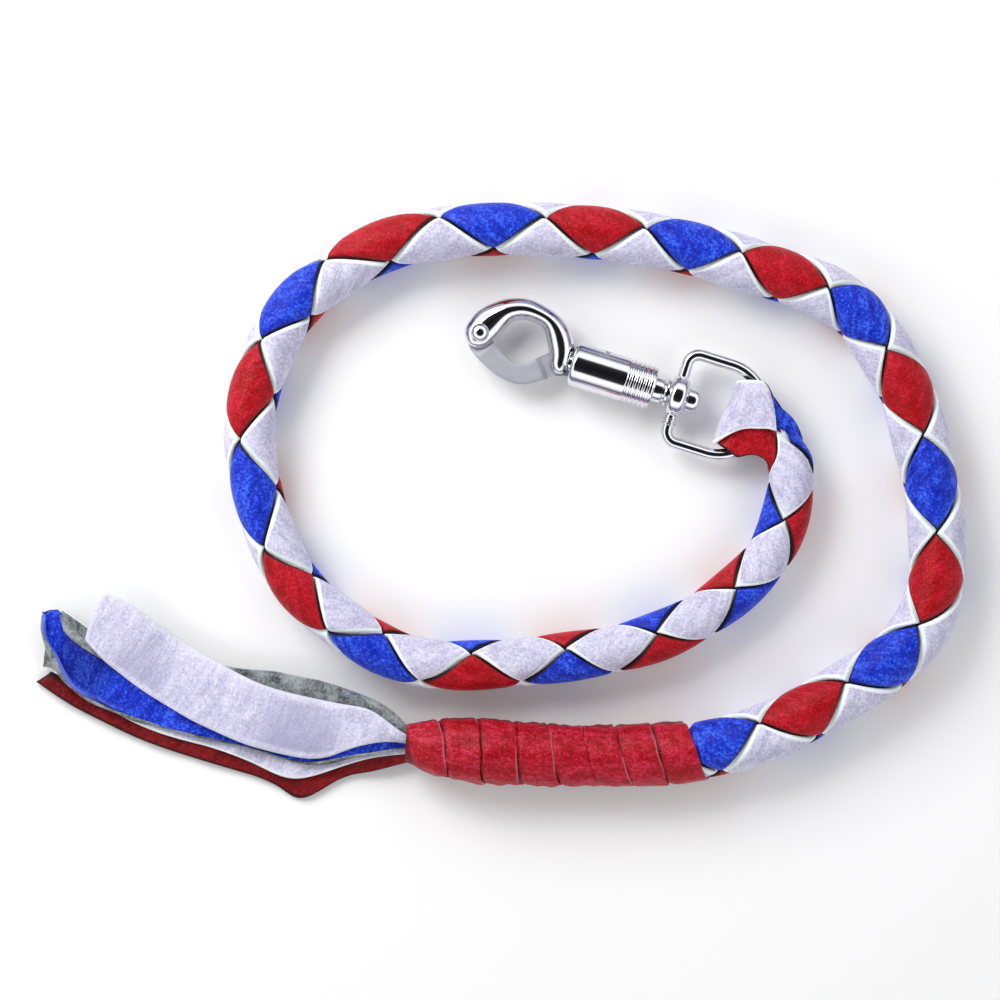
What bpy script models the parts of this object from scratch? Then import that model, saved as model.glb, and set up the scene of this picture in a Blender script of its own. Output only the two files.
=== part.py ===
"""A braided leather lead with a quick-release snap, laid on a flat surface in an open spiral.

Metres, +Z up. The surface it lies on is z = 0, and the origin is below the middle of the laid-out lead.
A braid of four leather strands over a core runs from a wrapped grip with a tassel to a swivelling D-ring.
The snap's jaw is pinned to a fixed arm and locked by a sleeve, which a spring holds forward.
"""

import math

import bmesh
import bpy
import numpy as np
from mathutils import Matrix, Vector

# ---------------------------------------------------------------- driving dimensions, in metres
GAP = 0.0003

# The cord's own line, seen from above: the grip from its tassel end, then the braid to the ring.
GRIP_ROUTE = [(-0.0318, -0.0830), (-0.0148, -0.0843), (0.0175, -0.0865), (0.0481, -0.0864)]
BRAID_ROUTE = [
    (0.0672, -0.0850), (0.0828, -0.0816), (0.1046, -0.0724), (0.1195, -0.0636), (0.1338, -0.0541),
    (0.1436, -0.0425), (0.1484, -0.0272), (0.1487, -0.0102), (0.1426, 0.0231), (0.1372, 0.0394),
    (0.1311, 0.0503), (0.1229, 0.0619), (0.1120, 0.0700), (0.0971, 0.0758), (0.0655, 0.0853),
    (0.0155, 0.0918), (-0.0206, 0.0904), (-0.0393, 0.0860), (-0.0563, 0.0765), (-0.0699, 0.0646),
    (-0.0784, 0.0490), (-0.0838, 0.0323), (-0.0838, 0.0129), (-0.0757, -0.0153), (-0.0661, -0.0313),
    (-0.0539, -0.0415), (-0.0403, -0.0503), (-0.0247, -0.0554), (-0.0080, -0.0561), (0.0226, -0.0534),
    (0.0536, -0.0466), (0.0814, -0.0299), (0.0937, -0.0153), (0.0991, 0.0034), (0.0988, 0.0136),
    (0.0935, 0.0232),
]
BRAID_R_GRIP = 0.0102  # the braid tapers from the grip to the ring
BRAID_R_RING = 0.0083
STRANDS_THICK = 0.0036  # two strands crossing, one over the other
BRAID_SHOULDER = 0.004  # length over which the braid swells out of the wrap
RING_CLEARANCE = 0.005  # the braid stops this far short of its route's end, beside the ring
CORD_STEP = 0.013

# The grip's outside: distance from the tassel end, radius, height of the centre.
GRIP_SHAPE = [
    (0.000, 0.0068, 0.0085), (0.012, 0.0097, 0.0102), (0.025, 0.0111, 0.0111), (0.050, 0.0104, 0.0106),
    (0.066, 0.0101, 0.0103), (0.080, 0.0106, 0.0106), (0.100, 0.0103, 0.0104),
]
WRAP_THICK = 0.0016
CORD_START = 0.0103  # inside the wrap, where the tassel strips join the braid

# The tassel strips, seen from above: x, y, half width. They all end inside the grip's mouth.
STRIP_THICK = 0.0014
STRIP_MOUTH = [(-0.0318, -0.0825, 0.0030), (-0.0223, -0.0835, 0.0030)]
STRIP_RISE = 0.030  # distance from the mouth over which a strip comes up off the surface
MOUTH_LIFT = 0.00525
TASSEL = {
    "tassel_red": [
        (-0.1532, -0.0585, 0.0108), (-0.1321, -0.0673, 0.0110), (-0.1151, -0.0741, 0.0112),
        (-0.0981, -0.0792, 0.0112), (-0.0811, -0.0850, 0.0110), (-0.0675, -0.0901, 0.0105),
        (-0.0539, -0.0874, 0.0085), (-0.0420, -0.0847, 0.0050),
    ],
    "tassel_white_lower": [
        (-0.1423, -0.0493, 0.0102), (-0.1253, -0.0595, 0.0104), (-0.1049, -0.0721, 0.0105),
        (-0.0845, -0.0809, 0.0105), (-0.0675, -0.0857, 0.0102), (-0.0522, -0.0857, 0.0085),
        (-0.0410, -0.0836, 0.0050),
    ],
    "tassel_blue": [
        (-0.1501, -0.0517, 0.0115), (-0.1321, -0.0595, 0.0115), (-0.1151, -0.0687, 0.0115),
        (-0.0981, -0.0741, 0.0115), (-0.0811, -0.0782, 0.0112), (-0.0607, -0.0819, 0.0095),
        (-0.0437, -0.0830, 0.0055),
    ],
    "tassel_white_upper": [
        (-0.1382, -0.0394, 0.0102), (-0.1239, -0.0493, 0.0103), (-0.1066, -0.0612, 0.0104),
        (-0.0940, -0.0680, 0.0105), (-0.0811, -0.0734, 0.0104), (-0.0692, -0.0765, 0.0102),
        (-0.0549, -0.0785, 0.0085), (-0.0430, -0.0792, 0.0050),
    ],
}

# The snap's barrel line: x along it from the jaw's side to the ring, y across it, z up.
SNAP_PLACE = (0.0248, 0.0466)  # the middle of the sleeve's front face, seen from above
SNAP_TURN = math.radians(-17.3)
BARREL_Z = 0.00775

SLEEVE_R = 0.0077
SLEEVE_LENGTH = 0.0294
SLEEVE_BORE_R = 0.0050
SLEEVE_MOUTH_R = 0.0056
SLEEVE_MOUTH_DEPTH = 0.003
SLEEVE_HOLE_R = 0.0034
SLEEVE_SHOULDER = 0.005  # where the spring's seat is, from the front face
RIB_FIRST = 0.0196
RIB_PITCH = 0.0017
RIB_COUNT = 5
RIB_DEPTH = 0.0005

STEM_R = 0.0030
NECK_R = 0.0046
NECK_START = 0.0200
SHAFT_R = 0.0026
HEAD_R = 0.00425
HEAD_LENGTH = 0.0034

SPRING_R = 0.0041
SPRING_WIRE_R = 0.0004
SPRING_TURNS = 7

BOSS_AT = 0.0377  # the ring's eye, along the barrel line
BOSS_R = 0.0072
BOSS_LENGTH = 0.0058
RING_TILT = math.radians(2.5)
RING_WIRE_R = 0.0020
RING_BOW_R = 0.0156
RING_BOW_AT = 0.0148  # centre of the bow, from the eye
RING_CORNER_R = 0.0040

# The hook, from the jaw's pivot: x, y, half width.
PIVOT_AT = (-0.0327, 0.0005)
NOSE_R = 0.0054
HOOK_HALF_HEIGHT = 0.0038
JAW_LINE = [
    (0.0018, 0.0039, 0.0056), (0.0036, 0.0066, 0.0051), (0.0062, 0.0095, 0.0043),
    (0.0095, 0.0115, 0.0038), (0.0132, 0.0124, 0.0036), (0.0175, 0.0121, 0.0033),
    (0.0214, 0.0110, 0.0034), (0.0244, 0.0084, 0.0039), (0.0266, 0.0052, 0.0042),
    (0.0282, 0.0012, 0.0035), (0.0292, -0.0022, 0.0027),
]
ARM_LINE = [
    (0.0023, -0.0040, 0.0041), (0.0051, -0.0060, 0.0037), (0.0082, -0.0077, 0.0035),
    (0.0112, -0.0089, 0.0034), (0.0144, -0.0094, 0.0034), (0.0176, -0.0091, 0.0035),
    (0.0203, -0.0078, 0.0035), (0.0234, -0.0054, 0.0038), (0.0268, -0.0028, 0.0042),
    (0.0300, -0.0010, 0.0046), (0.0322, -0.0004, 0.0047),
]
LAP_R = 0.0062
LAP_GAP = 0.00015
TAIL_LAP = (0.0238, 0.03245)  # the stretch where the jaw's tail lies on the arm's root
TAIL_LAP_TOP = 0.0066
RIVET_R = 0.0016
RIVET_HEAD_R = 0.0032
RIVET_HEAD_HEIGHT = 0.0018

# The leather loop round the ring's bow, from the eye: x, y. Each strap goes over, round and back.
STRAP_THICK = 0.0013
WHITE_LINE = [(0.0182, 0.0003), (0.0250, 0.0010), (0.0320, 0.0008)]
RED_LINE = [(0.0198, -0.0080), (0.0245, -0.0078), (0.0295, -0.0056)]
BLUE_LINE = [(0.0219, 0.0070), (0.0300, 0.0072), (0.0366, 0.0040)]
STRAP_SPREAD = 0.0038  # how far the red and blue straps' ends lie from the braid's middle
WHITE_GAPS = [(0.0030, 0.0030), (0.0055, 0.0057), (0.0110, 0.0067), (0.0220, 0.0068)]
INNER_GAPS = [(0.0017, 0.0017), (0.0037, 0.0033), (0.0080, 0.0046), (0.0240, 0.0047)]
WHITE_WIDTHS = (0.0245, 0.0150)
INNER_WIDTHS = (0.0055, 0.0064)

LEATHER_WHITE = ((0.82, 0.83, 0.93), 0.55, 0.0)
LEATHER_RED = ((0.58, 0.02, 0.03), 0.5, 0.0)
LEATHER_BLUE = ((0.02, 0.06, 0.62), 0.5, 0.0)
LEATHER_GRIP = ((0.66, 0.02, 0.04), 0.45, 0.0)
FILLER_BROWN = ((0.42, 0.34, 0.24), 0.8, 0.0)
NICKEL = ((0.75, 0.74, 0.73), 0.2, 1.0)
SPRING_STEEL = ((0.55, 0.56, 0.58), 0.35, 1.0)


# ---------------------------------------------------------------- helpers
def clear_scene():
    for obj in list(bpy.data.objects):
        bpy.data.objects.remove(obj, do_unlink=True)


def new_collection(name):
    collection = bpy.data.collections.new(name)
    bpy.context.scene.collection.children.link(collection)
    return collection


def material(name, look):
    colour, roughness, metallic = look
    found = bpy.data.materials.new(name)
    found.use_nodes = True
    shader = found.node_tree.nodes["Principled BSDF"]
    shader.inputs["Base Color"].default_value = (*colour, 1.0)
    shader.inputs["Roughness"].default_value = roughness
    shader.inputs["Metallic"].default_value = metallic
    return found


def add_object(name, data, collection):
    obj = bpy.data.objects.new(name, data)
    collection.objects.link(obj)
    return obj


def add_mesh(name, bm, collection):
    bmesh.ops.recalc_face_normals(bm, faces=bm.faces[:])
    mesh = bpy.data.meshes.new(name)
    bm.to_mesh(mesh)
    bm.free()
    return add_object(name, mesh, collection)


def shade_smooth(obj, angle=35.0):
    obj.data.shade_smooth()
    obj.data.set_sharp_from_angle(angle=math.radians(angle))


def smooth_curve(points, step):
    """Rows about `step` apart on a natural cubic spline through the points; x and y set the spacing."""
    knots = np.array(points, float)
    spans = np.linalg.norm(np.diff(knots[:, :2], axis=0), axis=1)
    along = np.concatenate([[0.0], np.cumsum(spans)])
    count = len(knots)
    system = np.eye(count)
    bends = np.zeros_like(knots)
    for i in range(1, count - 1):
        system[i, i - 1 : i + 2] = spans[i - 1], 2 * (spans[i - 1] + spans[i]), spans[i]
        slope_after = (knots[i + 1] - knots[i]) / spans[i]
        slope_before = (knots[i] - knots[i - 1]) / spans[i - 1]
        bends[i] = 6 * (slope_after - slope_before)
    bends = np.linalg.solve(system, bends)
    rows = []
    for s in np.linspace(0.0, along[-1], max(2, round(along[-1] / step) + 1)):
        i = min(max(int(np.searchsorted(along, s)) - 1, 0), count - 2)
        h = spans[i]
        a, b = (along[i + 1] - s) / h, (s - along[i]) / h
        curve_part = ((a**3 - a) * bends[i] + (b**3 - b) * bends[i + 1]) * h * h / 6
        rows.append(a * knots[i] + b * knots[i + 1] + curve_part)
    return np.array(rows)


def distances(rows):
    steps = np.linalg.norm(np.diff(rows[:, :2], axis=0), axis=1)
    return np.concatenate([[0.0], np.cumsum(steps)])


def tube(name, centres, radii, collection, sides_level=3, capped=True):
    """A round cord along the centres, as a poly spline whose points carry the radius."""
    curve = bpy.data.curves.new(name, "CURVE")
    curve.dimensions = "3D"
    curve.bevel_depth = 1.0
    curve.bevel_resolution = sides_level
    curve.use_fill_caps = capped
    spline = curve.splines.new("POLY")
    spline.points.add(len(centres) - 1)
    for point, centre, radius in zip(spline.points, centres, radii):
        point.co = (*centre, 1.0)
        point.radius = radius
    return add_object(name, curve, collection)


def as_mesh(obj, collection):
    """The evaluated object as a welded mesh in a new object of the same name and place."""
    bpy.context.view_layer.update()
    depsgraph = bpy.context.evaluated_depsgraph_get()
    mesh = bpy.data.meshes.new_from_object(obj.evaluated_get(depsgraph))
    name, place = obj.name, obj.matrix_world.copy()
    bpy.data.objects.remove(obj, do_unlink=True)
    bm = bmesh.new()
    bm.from_mesh(mesh)
    bmesh.ops.remove_doubles(bm, verts=bm.verts[:], dist=0.00001)
    bm.to_mesh(mesh)
    bm.free()
    made = add_object(name, mesh, collection)
    made.matrix_world = place
    return made


def boolean(obj, other, operation):
    modifier = obj.modifiers.new(other.name, "BOOLEAN")
    modifier.operation = operation
    modifier.object = other


def as_guide(obj):
    obj.hide_render = True
    obj.display_type = "WIRE"
    return obj


def cylinder(name, start, length, radius, collection, sides=40, along_x=False):
    """A cylinder from `start` along +Z, or along +X."""
    bm = bmesh.new()
    bmesh.ops.create_cone(
        bm, cap_ends=True, segments=sides, radius1=radius, radius2=radius, depth=length
    )
    turn = Matrix.Rotation(math.radians(90), 4, "Y") if along_x else Matrix.Identity(4)
    lift = Matrix.Translation((0, 0, length / 2))
    bmesh.ops.transform(bm, matrix=Matrix.Translation(start) @ turn @ lift, verts=bm.verts[:])
    return add_mesh(name, bm, collection)


def box(name, low, high, collection):
    bm = bmesh.new()
    bmesh.ops.create_cube(bm, size=1.0)
    low, high = Vector(low), Vector(high)
    size = Matrix.Diagonal((*(high - low), 1.0))
    bmesh.ops.transform(bm, matrix=Matrix.Translation((low + high) / 2) @ size, verts=bm.verts[:])
    return add_mesh(name, bm, collection)


def turned(name, profile, collection, steps=36):
    """A solid of revolution about X from a closed (x, radius) outline whose ends lie on the axis or meet."""
    bm = bmesh.new()
    verts = [bm.verts.new((x, r, 0.0)) for x, r in reversed(profile)]
    for first, second in zip(verts, verts[1:]):
        bm.edges.new((first, second))
    if profile[0][1] > 0.0:
        bm.edges.new((verts[-1], verts[0]))
    mesh = bpy.data.meshes.new(name)
    bm.to_mesh(mesh)
    bm.free()
    obj = add_object(name, mesh, collection)
    screw = obj.modifiers.new("turn", "SCREW")
    screw.axis = "X"
    screw.steps = steps
    screw.render_steps = steps
    screw.use_merge_vertices = True
    screw.merge_threshold = 0.00001
    return obj


def loft(name, sections, collection):
    """A closed solid through rings of equally many points, with flat ends."""
    bm = bmesh.new()
    rings = [[bm.verts.new(p) for p in section] for section in sections]
    for ring, after in zip(rings, rings[1:]):
        for i in range(len(ring)):
            j = (i + 1) % len(ring)
            bm.faces.new((ring[i], ring[j], after[j], after[i]))
    bm.faces.new(rings[0])
    bm.faces.new(rings[-1])
    return add_mesh(name, bm, collection)


def ribbon(name, centres, across, half_widths, thick, collection):
    """A leather strip through the centres; `across` points along its width at each one."""
    sections = []
    for i, centre in enumerate(centres):
        before, after = centres[max(i - 1, 0)], centres[min(i + 1, len(centres) - 1)]
        side = Vector(across[i]).normalized()
        up = (after - before).cross(side).normalized()
        wide, high = side * half_widths[i], up * (thick / 2)
        sections.append([centre - wide - high, centre + wide - high, centre + wide + high, centre - wide + high])
    return loft(name, sections, collection)


def bar(name, line, end_radius, squareness, collection, sides=16):
    """A forged bar in the XY plane with a round end at the origin; its section is a superellipse."""
    rows = smooth_curve([(0.0, 0.0, end_radius), *line], 0.0022)
    heading = rows[1, :2] - rows[0, :2]
    heading /= np.linalg.norm(heading)
    nose = [
        (*(-heading * end_radius * math.cos(turn)), end_radius * math.sin(turn))
        for turn in np.radians([12, 34, 56, 75])
    ]
    rows = np.vstack([nose, rows])
    sections = []
    for i, (x, y, half) in enumerate(rows):
        before, after = rows[max(i - 1, 0), :2], rows[min(i + 1, len(rows) - 1), :2]
        ahead = (after - before) / np.linalg.norm(after - before)
        side = Vector((-ahead[1], ahead[0], 0.0))
        ring = []
        for k in range(sides):
            turn = 2 * math.pi * (k + 0.5) / sides
            c, s = math.cos(turn), math.sin(turn)
            wide = math.copysign(abs(c) ** squareness, c) * half
            high = math.copysign(abs(s) ** squareness, s) * HOOK_HALF_HEIGHT
            ring.append(Vector((x, y, 0.0)) + side * wide + Vector((0.0, 0.0, high)))
        sections.append(ring)
    return loft(name, sections, collection)


def place(obj, x=0.0, y=0.0, turn=0.0):
    """Puts an object modelled on the barrel line at (x, y) on it, and turns it in the snap's plane."""
    here = Matrix.Translation((*SNAP_PLACE, BARREL_Z)) @ Matrix.Rotation(SNAP_TURN, 4, "Z")
    obj.matrix_world = here @ Matrix.Translation((x, y, 0.0)) @ Matrix.Rotation(turn, 4, "Z")
    return obj


# ---------------------------------------------------------------- the cord and its grip
def cord_rows():
    """Points on the cord's line: x, y, distance from the tassel end, grip length."""
    route = smooth_curve([*GRIP_ROUTE, *BRAID_ROUTE], CORD_STEP / 4)
    grip_length = float(distances(smooth_curve([*GRIP_ROUTE, BRAID_ROUTE[0]], CORD_STEP / 4))[-1])
    return route, distances(route), grip_length


def grip_size(s):
    at, radius, height = zip(*GRIP_SHAPE)
    return np.interp(s, at, radius), np.interp(s, at, height)


def braid_radius(share):
    return BRAID_R_GRIP + (BRAID_R_RING - BRAID_R_GRIP) * share


def cord_stretch(start, end, step):
    """Places from start to end along the cord: x, y and distance."""
    route, along, _ = cord_rows()
    at = np.linspace(start, end, round((end - start) / step) + 1)
    return np.column_stack([np.interp(at, along, route[:, k]) for k in (0, 1)] + [at])


def cord_shape():
    """Centres and outside radii of the strands, from inside the wrap to the ring."""
    _, along, grip_length = cord_rows()
    end = along[-1] - RING_CLEARANCE
    shoulder = [grip_length + 0.0006, grip_length + 0.0006 + BRAID_SHOULDER]
    under = cord_stretch(CORD_START, shoulder[0], 0.011)
    braid = cord_stretch(shoulder[1], end, CORD_STEP)
    centres, radii = [], []
    for x, y, s in np.vstack([under, braid]):
        outside, height = grip_size(s)
        if s > shoulder[0]:
            radius = braid_radius((s - grip_length) / (end - grip_length))
            height = radius
        else:
            radius = outside - WRAP_THICK - GAP
        centres.append((x, y, height))
        radii.append(radius)
    return centres, radii


def make_braid(parts, white, brown):
    centres, radii = cord_shape()
    strands = tube("braid_strands", centres, radii, parts, capped=False)
    shell = strands.modifiers.new("layers", "SOLIDIFY")
    shell.thickness = STRANDS_THICK
    shell.offset = -1.0
    strands.data.materials.append(white)
    core_radii = [radius - STRANDS_THICK - 2 * GAP for radius in radii]
    core = tube("braid_core", centres, core_radii, parts)
    core.data.materials.append(brown)


def make_wrap(parts, red):
    _, _, grip_length = cord_rows()
    rows = cord_stretch(0.0, grip_length, 0.009)
    sizes = [grip_size(s) for s in rows[:, 2]]
    centres = [(x, y, height) for (x, y, _), (_, height) in zip(rows, sizes)]
    wrap = tube("grip_wrap", centres, [radius for radius, _ in sizes], parts, capped=False)
    shell = wrap.modifiers.new("leather", "SOLIDIFY")
    shell.thickness = WRAP_THICK
    shell.offset = -1.0
    wrap.data.materials.append(red)


def make_tassel(parts, colours):
    for level, (name, line) in enumerate(TASSEL.items()):
        rows = smooth_curve([*line, *STRIP_MOUTH], 0.009)
        left = distances(rows)[-1] - distances(rows)
        mouth = float(np.hypot(*np.subtract(STRIP_MOUTH[1][:2], STRIP_MOUTH[0][:2])))
        base = level * (STRIP_THICK + GAP) + STRIP_THICK / 2
        centres = []
        for (x, y, _), s in zip(rows, left):
            share = min(max((s - mouth) / STRIP_RISE, 0.0), 1.0)
            lift = MOUTH_LIFT * (1 - share * share * (3 - 2 * share))
            centres.append(Vector((x, y, base + lift)))
        across = []
        for i in range(len(rows)):
            ahead = rows[min(i + 1, len(rows) - 1)] - rows[max(i - 1, 0)]
            across.append((-ahead[1], ahead[0], 0.0))
        strip = ribbon(name, centres, across, rows[:, 2], STRIP_THICK, parts)
        strip.data.materials.append(colours[name])


# ---------------------------------------------------------------- the loop round the ring
def braid_end():
    """The middle of the braid's end face and the way it faces, from the ring's eye along the barrel line."""
    last = cord_shape()[0][-2:]
    to_barrel = Matrix.Rotation(-SNAP_TURN, 2)
    before, end = (to_barrel @ (Vector(c[:2]) - Vector(SNAP_PLACE)) - Vector((BOSS_AT, 0.0)) for c in last)
    return end, (end - before).normalized()


def braid_side():
    """The direction across the braid's end face, towards the outside of the spiral."""
    _, out = braid_end()
    return Vector((out.y, -out.x, 0.0))


def strap_line(line, spread):
    """The strap's line carried on to the braid's end face, `spread` to the side of its middle."""
    end, out = braid_end()
    return [*line, tuple(end + out * 2 * GAP + braid_side().xy * spread)]


def make_strap(name, line, gaps, widths, fold_across, look, parts):
    """A strap from the braid over the ring's bow, round a fold and back underneath."""
    rows = smooth_curve(line, 0.0022)
    ahead = np.gradient(rows, axis=0)
    end_side = braid_side()
    along = distances(rows)
    share = along / along[-1]
    out, half_gap = zip(*gaps)
    fold = half_gap[0]
    leaf = [i for i in range(len(rows)) if along[i] > fold + STRAP_THICK / 2]
    centres, across, half_widths = [], [], []

    def add(i, x, y, z):
        centres.append(Vector((x, y, z)))
        square = Vector((-ahead[i, 1], ahead[i, 0], 0.0)).normalized()
        turn = Vector(fold_across).normalized().lerp(square, min(2 * share[i], 1.0))
        across.append(turn.lerp(end_side, max(2 * share[i] - 1.0, 0.0)))
        half_widths.append((widths[0] + (widths[1] - widths[0]) * share[i]) / 2)

    for i in reversed(leaf):
        add(i, rows[i, 0], rows[i, 1], np.interp(along[i], out, half_gap))
    heading = ahead[0] / np.linalg.norm(ahead[0])
    for turn in np.radians([90, 60, 30, 0, -30, -60, -90]):
        back = fold * (1 - math.cos(turn))
        x, y = rows[0] + heading * back
        add(0, x, y, fold * math.sin(turn))
    for i in leaf:
        add(i, rows[i, 0], rows[i, 1], -np.interp(along[i], out, half_gap))
    strap = ribbon(name, centres, across, half_widths, STRAP_THICK, parts)
    strap.data.materials.append(look)
    place(strap, BOSS_AT)


def make_loop(parts, white, red, blue):
    straps = [
        ("loop_strap_white", WHITE_LINE, 0.0, WHITE_GAPS, WHITE_WIDTHS, (0.16, 1.0, 0.0), white),
        ("loop_strap_red", RED_LINE, -STRAP_SPREAD, INNER_GAPS, INNER_WIDTHS, (-0.3, 1.0, 0.0), red),
        ("loop_strap_blue", BLUE_LINE, STRAP_SPREAD, INNER_GAPS, INNER_WIDTHS, (0.3, 1.0, 0.0), blue),
    ]
    for name, line, spread, gaps, widths, fold, look in straps:
        make_strap(name, strap_line(line, spread), gaps, widths, fold, look, parts)


# ---------------------------------------------------------------- the ring
def ring_line():
    """The wire's centre line: a straight side through the eye, two corners and a round bow."""
    corner = RING_CORNER_R
    side = RING_BOW_R
    points = [(0.0, y) for y in (-0.006, 0.0, 0.006)]
    for turn in np.radians([180, 157, 135, 112, 90]):
        points.append((corner * (1 + math.cos(turn)), side - corner * (1 - math.sin(turn))))
    for turn in np.radians(np.arange(90, -91, -12)):
        points.append((RING_BOW_AT + side * math.cos(turn), side * math.sin(turn)))
    for turn in np.radians([270, 248, 225, 203, 180]):
        points.append((corner * (1 + math.cos(turn)), -side + corner * (1 + math.sin(turn))))
    return points


def make_ring(parts, guides, nickel):
    wire = tube("d_ring", [(x, y, 0.0) for x, y in ring_line()], [RING_WIRE_R] * len(ring_line()), parts)
    wire.data.splines[0].use_cyclic_u = True
    place(wire, BOSS_AT, 0.0, RING_TILT)
    ring = as_mesh(wire, parts)
    eye = as_guide(cylinder("eye_boss", (-BOSS_LENGTH / 2, 0, 0), BOSS_LENGTH, BOSS_R, guides, along_x=True))
    hole = as_guide(cylinder("eye_hole", (-0.01, 0, 0), 0.02, SHAFT_R + 0.00035, guides, along_x=True))
    boolean(ring, place(eye, BOSS_AT), "UNION")
    boolean(ring, place(hole, BOSS_AT), "DIFFERENCE")
    shade_smooth(ring)
    ring.data.materials.append(nickel)


# ---------------------------------------------------------------- the snap
def make_snap_body(parts, guides, nickel):
    """The fixed arm, the stem through the sleeve, the neck, and the shaft and head that hold the ring."""
    boss_front = BOSS_AT - BOSS_LENGTH / 2
    boss_back = BOSS_AT + BOSS_LENGTH / 2 + GAP
    profile = [
        (-0.0030, 0.0), (-0.0030, STEM_R), (NECK_START, STEM_R), (NECK_START, NECK_R),
        (boss_front - GAP - 0.0006, NECK_R), (boss_front - GAP, NECK_R - 0.0006),
        (boss_front - GAP, SHAFT_R), (boss_back, SHAFT_R), (boss_back, HEAD_R),
        (boss_back + HEAD_LENGTH - 0.0008, HEAD_R), (boss_back + HEAD_LENGTH, HEAD_R - 0.0008),
        (boss_back + HEAD_LENGTH, 0.0),
    ]
    stem = as_guide(place(turned("stem", profile, guides)))
    body = place(bar("snap_body", ARM_LINE, NOSE_R - 0.0001, 0.45, parts), *PIVOT_AT)
    boolean(body, stem, "UNION")
    nose_lap = cylinder("arm_nose_lap", (0, 0, -LAP_GAP), 0.01, LAP_R, guides)
    low = (TAIL_LAP[0], -0.0072, -LAP_GAP)
    root_lap = box("arm_root_lap", low, (TAIL_LAP[1], 0.0120, 0.01), guides)
    pin_hole = cylinder("arm_pin_hole", (0, 0, -0.01), 0.02, RIVET_R + 0.0001, guides)
    for cutter in (nose_lap, root_lap, pin_hole):
        boolean(body, as_guide(place(cutter, *PIVOT_AT)), "DIFFERENCE")
    body.data.materials.append(nickel)
    shade_smooth(body)


def make_jaw(parts, guides, nickel):
    jaw = place(bar("snap_jaw", JAW_LINE, NOSE_R, 0.75, parts), *PIVOT_AT)
    nose_lap = cylinder("jaw_nose_lap", (0, 0, -0.01), 0.01 + LAP_GAP, LAP_R, guides)
    low = (TAIL_LAP[0], -0.0100, -0.01)
    tail_lap = box("jaw_tail_lap", low, (0.0360, TAIL_LAP_TOP, LAP_GAP), guides)
    pin_hole = cylinder("jaw_pin_hole", (0, 0, -0.01), 0.02, RIVET_R + 0.0001, guides)
    for cutter in (nose_lap, tail_lap, pin_hole):
        boolean(jaw, as_guide(place(cutter, *PIVOT_AT)), "DIFFERENCE")
    jaw.data.materials.append(nickel)
    shade_smooth(jaw)


def make_rivet(parts, nickel):
    top = HOOK_HALF_HEIGHT + 0.0001
    dome = [
        (top + RIVET_HEAD_HEIGHT * math.sin(turn), RIVET_HEAD_R * math.cos(turn))
        for turn in np.radians([0, 22, 45, 67])
    ]
    profile = [(-top - 0.0008, 0.0), (-top - 0.0008, 0.0022), (-top, 0.0028), (-top, RIVET_R), (top, RIVET_R)]
    profile += [*dome, (top + RIVET_HEAD_HEIGHT, 0.0)]
    rivet = turned("jaw_rivet", profile, parts)
    here = place(rivet, *PIVOT_AT).matrix_world
    rivet.matrix_world = here @ Matrix.Rotation(math.radians(-90), 4, "Y")
    rivet.data.materials.append(nickel)


def make_sleeve(parts, nickel):
    profile = [(0.0, SLEEVE_MOUTH_R), (0.0, SLEEVE_R - 0.0010), (0.0003, SLEEVE_R - 0.0003), (0.0010, SLEEVE_R)]
    for i in range(RIB_COUNT):
        start = RIB_FIRST + i * RIB_PITCH
        profile += [(start, SLEEVE_R), (start + 0.0004, SLEEVE_R - RIB_DEPTH)]
        profile += [(start + 0.0008, SLEEVE_R - RIB_DEPTH), (start + 0.0012, SLEEVE_R)]
    end = SLEEVE_LENGTH
    profile += [(end - 0.0008, SLEEVE_R - 0.0001), (end - 0.0002, SLEEVE_R - 0.0006), (end, SLEEVE_R - 0.0014)]
    profile += [(end, SLEEVE_BORE_R), (SLEEVE_SHOULDER, SLEEVE_BORE_R), (SLEEVE_SHOULDER, SLEEVE_HOLE_R)]
    profile += [(SLEEVE_MOUTH_DEPTH, SLEEVE_HOLE_R), (SLEEVE_MOUTH_DEPTH, SLEEVE_MOUTH_R)]
    sleeve = place(turned("snap_sleeve", profile, parts))
    sleeve.data.materials.append(nickel)


def make_spring(parts, steel):
    start = SLEEVE_SHOULDER + SPRING_WIRE_R + GAP / 2
    end = NECK_START - SPRING_WIRE_R - GAP / 2
    count = SPRING_TURNS * 12
    centres = []
    for i in range(count + 1):
        turn = 2 * math.pi * i / 12
        x = start + (end - start) * i / count
        centres.append((x, SPRING_R * math.cos(turn), SPRING_R * math.sin(turn)))
    spring = tube("sleeve_spring", centres, [SPRING_WIRE_R] * len(centres), parts, sides_level=2)
    place(spring)
    spring.data.materials.append(steel)


def main():
    clear_scene()
    parts = new_collection("braided_lead_rope")
    guides = new_collection("braided_lead_rope_cutters")
    white = material("white_leather", LEATHER_WHITE)
    red = material("red_leather", LEATHER_RED)
    blue = material("blue_leather", LEATHER_BLUE)
    nickel = material("nickel_plate", NICKEL)
    make_braid(parts, white, material("core_filler", FILLER_BROWN))
    make_wrap(parts, material("grip_leather", LEATHER_GRIP))
    tassel_colours = {
        "tassel_red": red, "tassel_white_lower": white, "tassel_blue": blue, "tassel_white_upper": white,
    }
    make_tassel(parts, tassel_colours)
    make_loop(parts, white, red, blue)
    make_ring(parts, guides, nickel)
    make_snap_body(parts, guides, nickel)
    make_jaw(parts, guides, nickel)
    make_rivet(parts, nickel)
    make_sleeve(parts, nickel)
    make_spring(parts, material("spring_steel", SPRING_STEEL))


main()
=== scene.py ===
"""Visual model of a braided leather lead with a quick-release snap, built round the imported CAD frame.

Metres, +Z up, in the CAD model's own frame: the lead lies on z = 0 in an open spiral.
Four leather strands are woven over a core. A wound leather grip holds their start and a tassel of four
strips, and leather straps hold the D-ring at their end. The snap turns in the ring's eye.
"""

import math

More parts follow.
